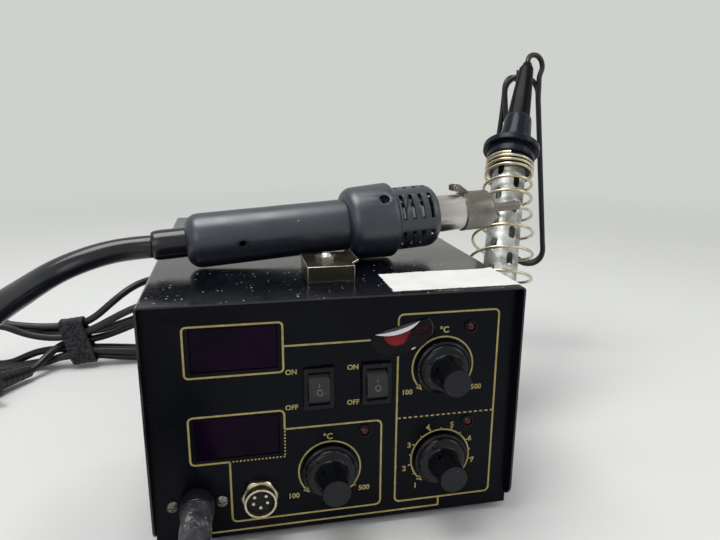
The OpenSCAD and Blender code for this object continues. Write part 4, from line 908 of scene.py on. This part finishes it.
def knobPiece(node, at, k):
    # the knob with its stem drawn out: from the dome to the tip z grows in proportion, and the stem narrows
    def drawOut(p):
        t = np.clip((p[:, 2] - k["stemFrom"]) / k["stemLong"], 0, 1)
        p[:, :2] *= (1 - k["narrower"] * t)[:, None]
        p[:, 2] += k["longer"] * t

    # the knob's bevel faces take the rim colour, a painted highlight with wear
    reshape(dressed(node, paint["knob"], k["bevel"], edge=paint["knobRimWearAndHighlight"]), panelFrame(*at), drawOut)


for node, at in knobs["places"].items():
    knobPiece(node, at, knobs)

lamps = {"places": [(67.5, 109), (68.3, 56), (12.5, 56)], "facets": 7, "cutFrom": 4, "cut": 0.1,
         "profile": [(2.85, -7), (2.85, -6), (2.45, -5.9), (2.45, 0.15), (1.95, 0.85), (1.2, 1.35),
                     (0.5, 1.55)]}


def lampLenses(k):
    # a turned profile of (radius, height) whose dome is cut into flat facets by a wave around it
    r, z = np.array(k["profile"]).T[:, :, None]
    a = np.linspace(0, 2 * np.pi, k["facets"] * 4, endpoint=False)
    onDome = np.arange(len(r))[:, None] >= k["cutFrom"]
    r = r * np.where(onDome, 1 + k["cut"] * np.cos(a * k["facets"]), 1)
    rings = np.stack(np.broadcast_arrays(r * np.cos(a), r * np.sin(a), z), axis=-1)
    faces = gridFaces(*rings.shape[:2]) + endFaces(*rings.shape[:2])
    points, faces = joined([(into(panelFrame(*at), rings).reshape(-1, 3), faces) for at in k["places"]])
    piece = pieceFromFaces("lampLenses", points, faces, paint["lens"], sharp=18)
    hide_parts("led_lenses")
    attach(piece, "station")


lampLenses(lamps)

rockers = {"places": {"iron_rocker": (-11, 82), "air_rocker": (18.4, 82)}, "tilt": 12.0, "pivot": -0.4,
           "vee": 12.0, "radius": 8.4, "corner": 55.0, "rollFrom": 3.0, "roll": 0.85, "rollFull": 3.0,
           "ring": (1.518, 1.61, 1.104, 1.196), "ringAt": (0.1, -1.95), "bar": (0.22, 0.6, 2.6),
           "markLift": 0.06}


def rockerFrame(at, r):  # local Y up the rocker, Z out of it
    tilt = Matrix.Rotation(math.radians(-r["tilt"]), 4, "X")
    return panelFrame(*at) @ Matrix.Translation((0, 0, r["pivot"] * mm)) @ tilt


def rockerPiece(node, at, r):
    # both ends rolled back: past a line across each half, z falls in proportion to the distance
    piece = dressed(node, paint["rocker"], 0.3)
    place = rockerFrame(at, r)
    with meshWork(piece.data) as work:
        for side in (-1, 1):
            everything = work.verts[:] + work.edges[:] + work.faces[:]
            bmesh.ops.bisect_plane(work, geom=everything, dist=weldNear["made"],
                                   plane_co=place @ Vector((0, side * r["rollFrom"] * mm, 0)),
                                   plane_no=place.to_3x3() @ Vector((0, 1, 0)))

    def rollBack(p):
        past = np.clip(np.abs(p[:, 1]) - r["rollFrom"], 0, None)
        p[:, 2] -= r["roll"] * past * np.clip(p[:, 2] / r["rollFull"], 0, 1)

    reshape(piece, place, rollBack)
    piece.data.set_sharp_from_angle(angle=math.radians(20))


def rockerMark(node, at, r):
    # a bar on the upper half and a ring on the lower one, laid on the two slopes of the shallow V
    slope, corner = math.tan(math.radians(r["vee"])), math.radians(r["corner"])
    deep = r["radius"] * (math.cos(corner) - math.sin(corner) * slope)
    a = np.linspace(0, 2 * np.pi, 25)
    outX, outY, inX, inY = r["ring"]
    ring = np.array([(outX * np.cos(a), outY * np.sin(a)), (inX * np.cos(a), inY * np.sin(a))])
    ring = ring.transpose(2, 0, 1) + r["ringAt"]
    half, low, high = r["bar"]
    bar = np.array([[(-half, high), (half, high)], [(-half, low), (half, low)]])
    parts = []
    for mark in (ring, bar):
        full = np.dstack([mark, deep + np.abs(mark[..., 1]) * slope + r["markLift"]])
        points = into(rockerFrame(at, r), full).reshape(-1, 3)
        parts.append((points, gridFaces(len(mark), 2, roundColumns=False)))
    piece = pieceFromFaces(node + ".marks", *joined(parts), paint["greyInk"])
    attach(piece, bodyOf[node])


for node, at in rockers["places"].items():
    rockerPiece(node, at, rockers)
    rockerMark(node, at, rockers)

paperLabel = {"corners": [(26.2, 3.8), (93, 4.7), (92.1, 39.8), (26.2, 37.5)], "lift": 0.25, "height": 130.0,
              "long": 61, "wide": 41, "torn": 0.22, "thick": 0.12, "wave": 0.12, "curl": 4.0, "curlFrom": 0.9}


def paperPiece(p):
    # a sheet between four corners, a little wavy, one end lifting, its edges torn by a small wander
    long, wide = p["long"], p["wide"]
    u, v = np.meshgrid(np.linspace(0, 1, long), np.linspace(0, 1, wide), indexing="ij")
    weights = np.stack([(1 - u) * (1 - v), u * (1 - v), u * v, (1 - u) * v], axis=-1)
    atRim = ((u == 0) | (u == 1) | (v == 0) | (v == 1))[..., None]
    torn = np.random.default_rng(8).normal(0, p["torn"], (long, wide, 2)) * atRim
    flat = weights @ np.array(p["corners"], float) + torn
    wave = p["wave"] * np.sin(7 * u + 2 * v) * np.sin(5 * v)
    curl = p["curl"] * np.clip(u - p["curlFrom"], 0, 1) * v ** 2
    top = np.dstack([flat, p["height"] + p["lift"] + wave + curl])
    points = np.concatenate([top.reshape(-1, 3), (top - (0, 0, p["thick"])).reshape(-1, 3)])
    faces = np.array(gridFaces(long, wide, roundColumns=False))
    grid = np.arange(long * wide).reshape(long, wide)
    loop = np.concatenate([grid[:, 0], grid[-1, 1:], grid[-2::-1, -1], grid[0, -2:0:-1]])
    after = np.roll(loop, -1)
    rim = np.stack([loop, after, after + long * wide, loop + long * wide], axis=1)
    faces = np.concatenate([faces, faces[:, ::-1] + long * wide, rim]).tolist()
    piece = pieceFromFaces("paperLabel", placed(points), faces, paint["paper"], sharp=40)
    mend(piece)
    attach(piece, "station")


paperPiece(paperLabel)

film = {"middle": (31.2, 107.0), "halfWide": 16.3, "halfTall": 10.7, "turn": 14.5, "cut": 4.7, "thick": 0.12,
        "ripple": 0.25, "ripples": 5, "lipMiddle": -1.4, "lipHalf": 11.9, "lipReach": 0.8, "lipOverlap": 0.3,
        "lipFall": 4.0, "lipOut": 3.2, "lipBright": 5, "glint": (37.29, 99.45),
        "spots": {"redPatch": ("paintedRedGlow", (-2.4, 1.6), (6.9, 6.6)),
                  "darkRedPatch": ("darkRed", (10.3, -0.4), (4.3, 2.5))}, "spotsEnd": 3.2,
        "lifts": {"film": 0.18, "lip": 0.3, "glint": 0.5, "spot": 0.42, "rim": 0.5}}


def filmPatch(name, u, v, out, materials, f, band=0):
    # a grid on the panel in the film's own slanted frame; the rows from `band` on take the second material
    t = math.radians(f["turn"])
    x = f["middle"][0] + u * math.cos(t) - v * math.sin(t)
    z = f["middle"][1] + u * math.sin(t) + v * math.cos(t)
    rows, columns = u.shape
    full = np.dstack(np.broadcast_arrays(x, panelY - out, z))
    piece = pieceFromFaces(name, placed(full), gridFaces(rows, columns, roundColumns=False), materials[0])
    mend(piece)
    sheet = piece.modifiers.new("sheet", "SOLIDIFY")
    sheet.thickness, sheet.offset = f["thick"] * mm, 0
    if len(materials) > 1:
        piece.data.materials.append(materials[1])
        for face in piece.data.polygons:
            face.material_index = int(face.index // (columns - 1) >= band)
    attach(piece, "station")


def filmPiece(f):
    # an oval of clear film, flat at the cut, its edge rippled: radius times cos and sin of the turn; a lip
    # curls out along the cut, coloured as a painted highlight, and a painted red glow lies below it
    lifts = f["lifts"]
    q, a = np.meshgrid(np.linspace(0, 1, 25), np.linspace(0, 2 * np.pi, 97), indexing="ij")
    u, v = f["halfWide"] * q * np.cos(a), np.minimum(f["halfTall"] * q * np.sin(a), f["cut"])
    ripple = f["ripple"] * q ** 6 * (1 - np.cos(a * f["ripples"]))
    filmPatch("clearFilm", u, v, lifts["film"] + ripple, [paint["film"]], f)
    s, w = np.meshgrid(np.linspace(0, 1, 13), np.linspace(-1, 1, 61), indexing="ij")
    reach = f["lipReach"] * (1 - np.abs(w) ** 2.2)
    u = f["lipMiddle"] + f["lipHalf"] * w
    v = f["cut"] - f["lipOverlap"] + reach * (0.9 - f["lipFall"] * s) * (1 + 0.1 * w)
    out = lifts["lip"] + reach * f["lipOut"] * np.sin(np.pi * 0.5 * s) ** 0.8
    filmPatch("filmLipHighlight", u, v, out, [paint["filmCurlSheen"], paint["filmLipHighlight"]], f, band=f["lipBright"])
    # a small painted glint on the film, coloured with the lip's painted highlight
    t, (x, z) = math.radians(f["turn"]), np.subtract(f["glint"], f["middle"])
    s, w = np.meshgrid(np.linspace(-0.55, 0.55, 4), np.linspace(-1.1, 1.1, 7), indexing="ij")
    u = x * math.cos(t) + z * math.sin(t) + w + 0.5 * s
    v = z * math.cos(t) - x * math.sin(t) + s * (1 - 0.6 * np.abs(w))
    filmPatch("filmGlint", u, v, lifts["glint"], [paint["filmLipHighlight"]], f)
    # the red patches under the film; the bright one is a painted glow
    for name, (finish, middle, half) in f["spots"].items():
        q, a = np.meshgrid(np.linspace(0, 1, 7), np.linspace(0, 2 * np.pi, 41), indexing="ij")
        u = middle[0] + half[0] * q * np.cos(a)
        v = np.minimum(middle[1] + half[1] * q * np.sin(a), f["spotsEnd"])
        filmPatch(name, u, v, lifts["spot"], [paint[finish]], f)
    # a thin pale arc of painted highlight along the film's edge
    side, a = np.meshgrid((-0.18, 0.18), np.linspace(-0.5, 0.42, 21), indexing="ij")
    u, v = f["halfWide"] * np.cos(a) + side, f["halfTall"] * np.sin(a)
    filmPatch("filmRim", u, v, lifts["rim"], [paint["filmCurlSheen"]], f)


filmPiece(film)
print("case dressed")

# holder, gun and iron

springLook = {"wire": 1.15, "sides": 14, "turns": (0.75, 10.0), "front": 182.8, "step": 0.0125, "smooth": 24,
              "heights": [-46, -42, -23, -5, 10.6, 24.6, 36.8, 48, 51.7, 55.1, 57.8],
              "radii": [22.8, 22.8, 22.6, 21.8, 19.6, 18.6, 17.7, 17.5, 17.5, 17.5, 17.5]}


def springPiece(s):
    # a helix whose height and radius are read from a table by its turns, smoothed between them
    turns = np.arange(s["turns"][0], s["turns"][1] + 0.0001, s["step"])
    weights = np.hanning(2 * s["smooth"] + 1) / s["smooth"]
    read = [np.interp(turns, range(len(s[key])), s[key]) for key in ("radii", "heights")]
    r, z = [np.convolve(np.pad(line, s["smooth"], "edge"), weights, "valid") for line in read]
    a = turns * 2 * np.pi + math.radians(s["front"])
    line = into(holderFrame, np.stack([r * np.cos(a), r * np.sin(a), z], axis=1))
    piece = tubePiece("holderSpring", line, s["wire"] * mm, s["sides"], paint["spring"])
    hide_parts("holder_spring")
    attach(piece, "station")


springPiece(springLook)
toolPieces = {
    "gun_handle": ("gun", 0.35), "gun_head": ("gun", 0.3), "gun_barrel": ("barrel", 0.1),
    "gun_sleeve": ("hose", 0.3), "nozzle": ("nozzle", 0.12), "nozzle_screw": ("clampSteel", 0.1),
    "iron_foot": ("collar", 0.3), "iron_handle": ("ironPlastic", 0.35)}
for node, (finish, bevel) in toolPieces.items():
    dressed(node, paint[finish], bevel)
print("gun and iron dressed")

# floor, backdrop and light

floorLook = {"half": 6.0, "colour": (0.80, 0.805, 0.785), "far": (0.675, 0.69, 0.66), "air": 0.92,
             "fadeFrom": 0.35, "fadeTo": 1.6}


def paleSeen(tree):
    # what the camera, mirrors and glass see of the far floor and the air
    seen = newNode(tree, "LightPath", {}).outputs
    through = mathNode(tree, "MAXIMUM", seen["Is Glossy Ray"], seen["Is Transmission Ray"])
    return mathNode(tree, "MAXIMUM", seen["Is Camera Ray"], through)


def stagePiece(f):
    # one square of floor, which fades into the air's own tone with distance
    corners = np.array([(-1, -1, 0), (1, -1, 0), (1, 1, 0), (-1, 1, 0)]) * f["half"]
    darker = tuple(c * 0.985 for c in f["colour"])
    m = newFinish("pale floor", colour=f["colour"], tone=(darker, 4.0), rough=0.6, specular=0.25)
    tree = m.node_tree
    place = newNode(tree, "TexCoord", {}).outputs["Object"]
    away = newNode(tree, "VectorMath", {0: place}, operation="LENGTH")
    far = rangeNode(tree, away.outputs["Value"], f["fadeFrom"], f["fadeTo"])
    air = newNode(tree, "Emission", {"Color": (*f["far"], 1), "Strength": f["air"]})
    mix = newNode(tree, "MixShader", {0: mathNode(tree, "MULTIPLY", far, paleSeen(tree)),
                                      1: tree.nodes["Principled BSDF"].outputs[0], 2: air.outputs[0]})
    tree.links.new(mix.outputs[0], tree.nodes["Material Output"].inputs["Surface"])
    pieceFromFaces("paleFloor", corners, [[0, 1, 2, 3]], m)


stagePiece(floorLook)
lights = {"above": {"at": (-0.35, 0.0, 1.5), "aim": (0, 0.05, 0), "size": 0.9, "watts": 16.5},
          "front": {"at": (-0.9, -1.3, 0.9), "aim": (0, 0, 0.1), "size": 0.9, "watts": 4.0},
          "right": {"at": (1.2, -0.5, 0.8), "aim": (0, 0, 0.1), "size": 0.8, "watts": 2.4}}
for name, light in lights.items():
    lamp = bpy.data.lights.new(name, "AREA")
    lamp.shape, lamp.size, lamp.energy = "SQUARE", light["size"], light["watts"]
    obj = bpy.data.objects.new(name, lamp)
    bpy.context.scene.collection.objects.link(obj)
    obj.location = light["at"]
    obj.rotation_euler = (Vector(light["aim"]) - Vector(light["at"])).to_track_quat("-Z", "Y").to_euler()

air = {"colour": (0.86, 0.88, 0.9), "strength": 0.4}
world = bpy.data.worlds.new("paleRoom")
bpy.context.scene.world = world
world.use_nodes = True
airTree = world.node_tree
soft = airTree.nodes["Background"]
soft.inputs[0].default_value, soft.inputs[1].default_value = (*air["colour"], 1), air["strength"]
clear = newNode(airTree, "Background", {0: (*floorLook["far"], 1), 1: floorLook["air"]})
both = newNode(airTree, "MixShader", {0: paleSeen(airTree), 1: soft.outputs[0], 2: clear.outputs[0]})
airTree.links.new(both.outputs[0], airTree.nodes["World Output"].inputs["Surface"])
print("lit")
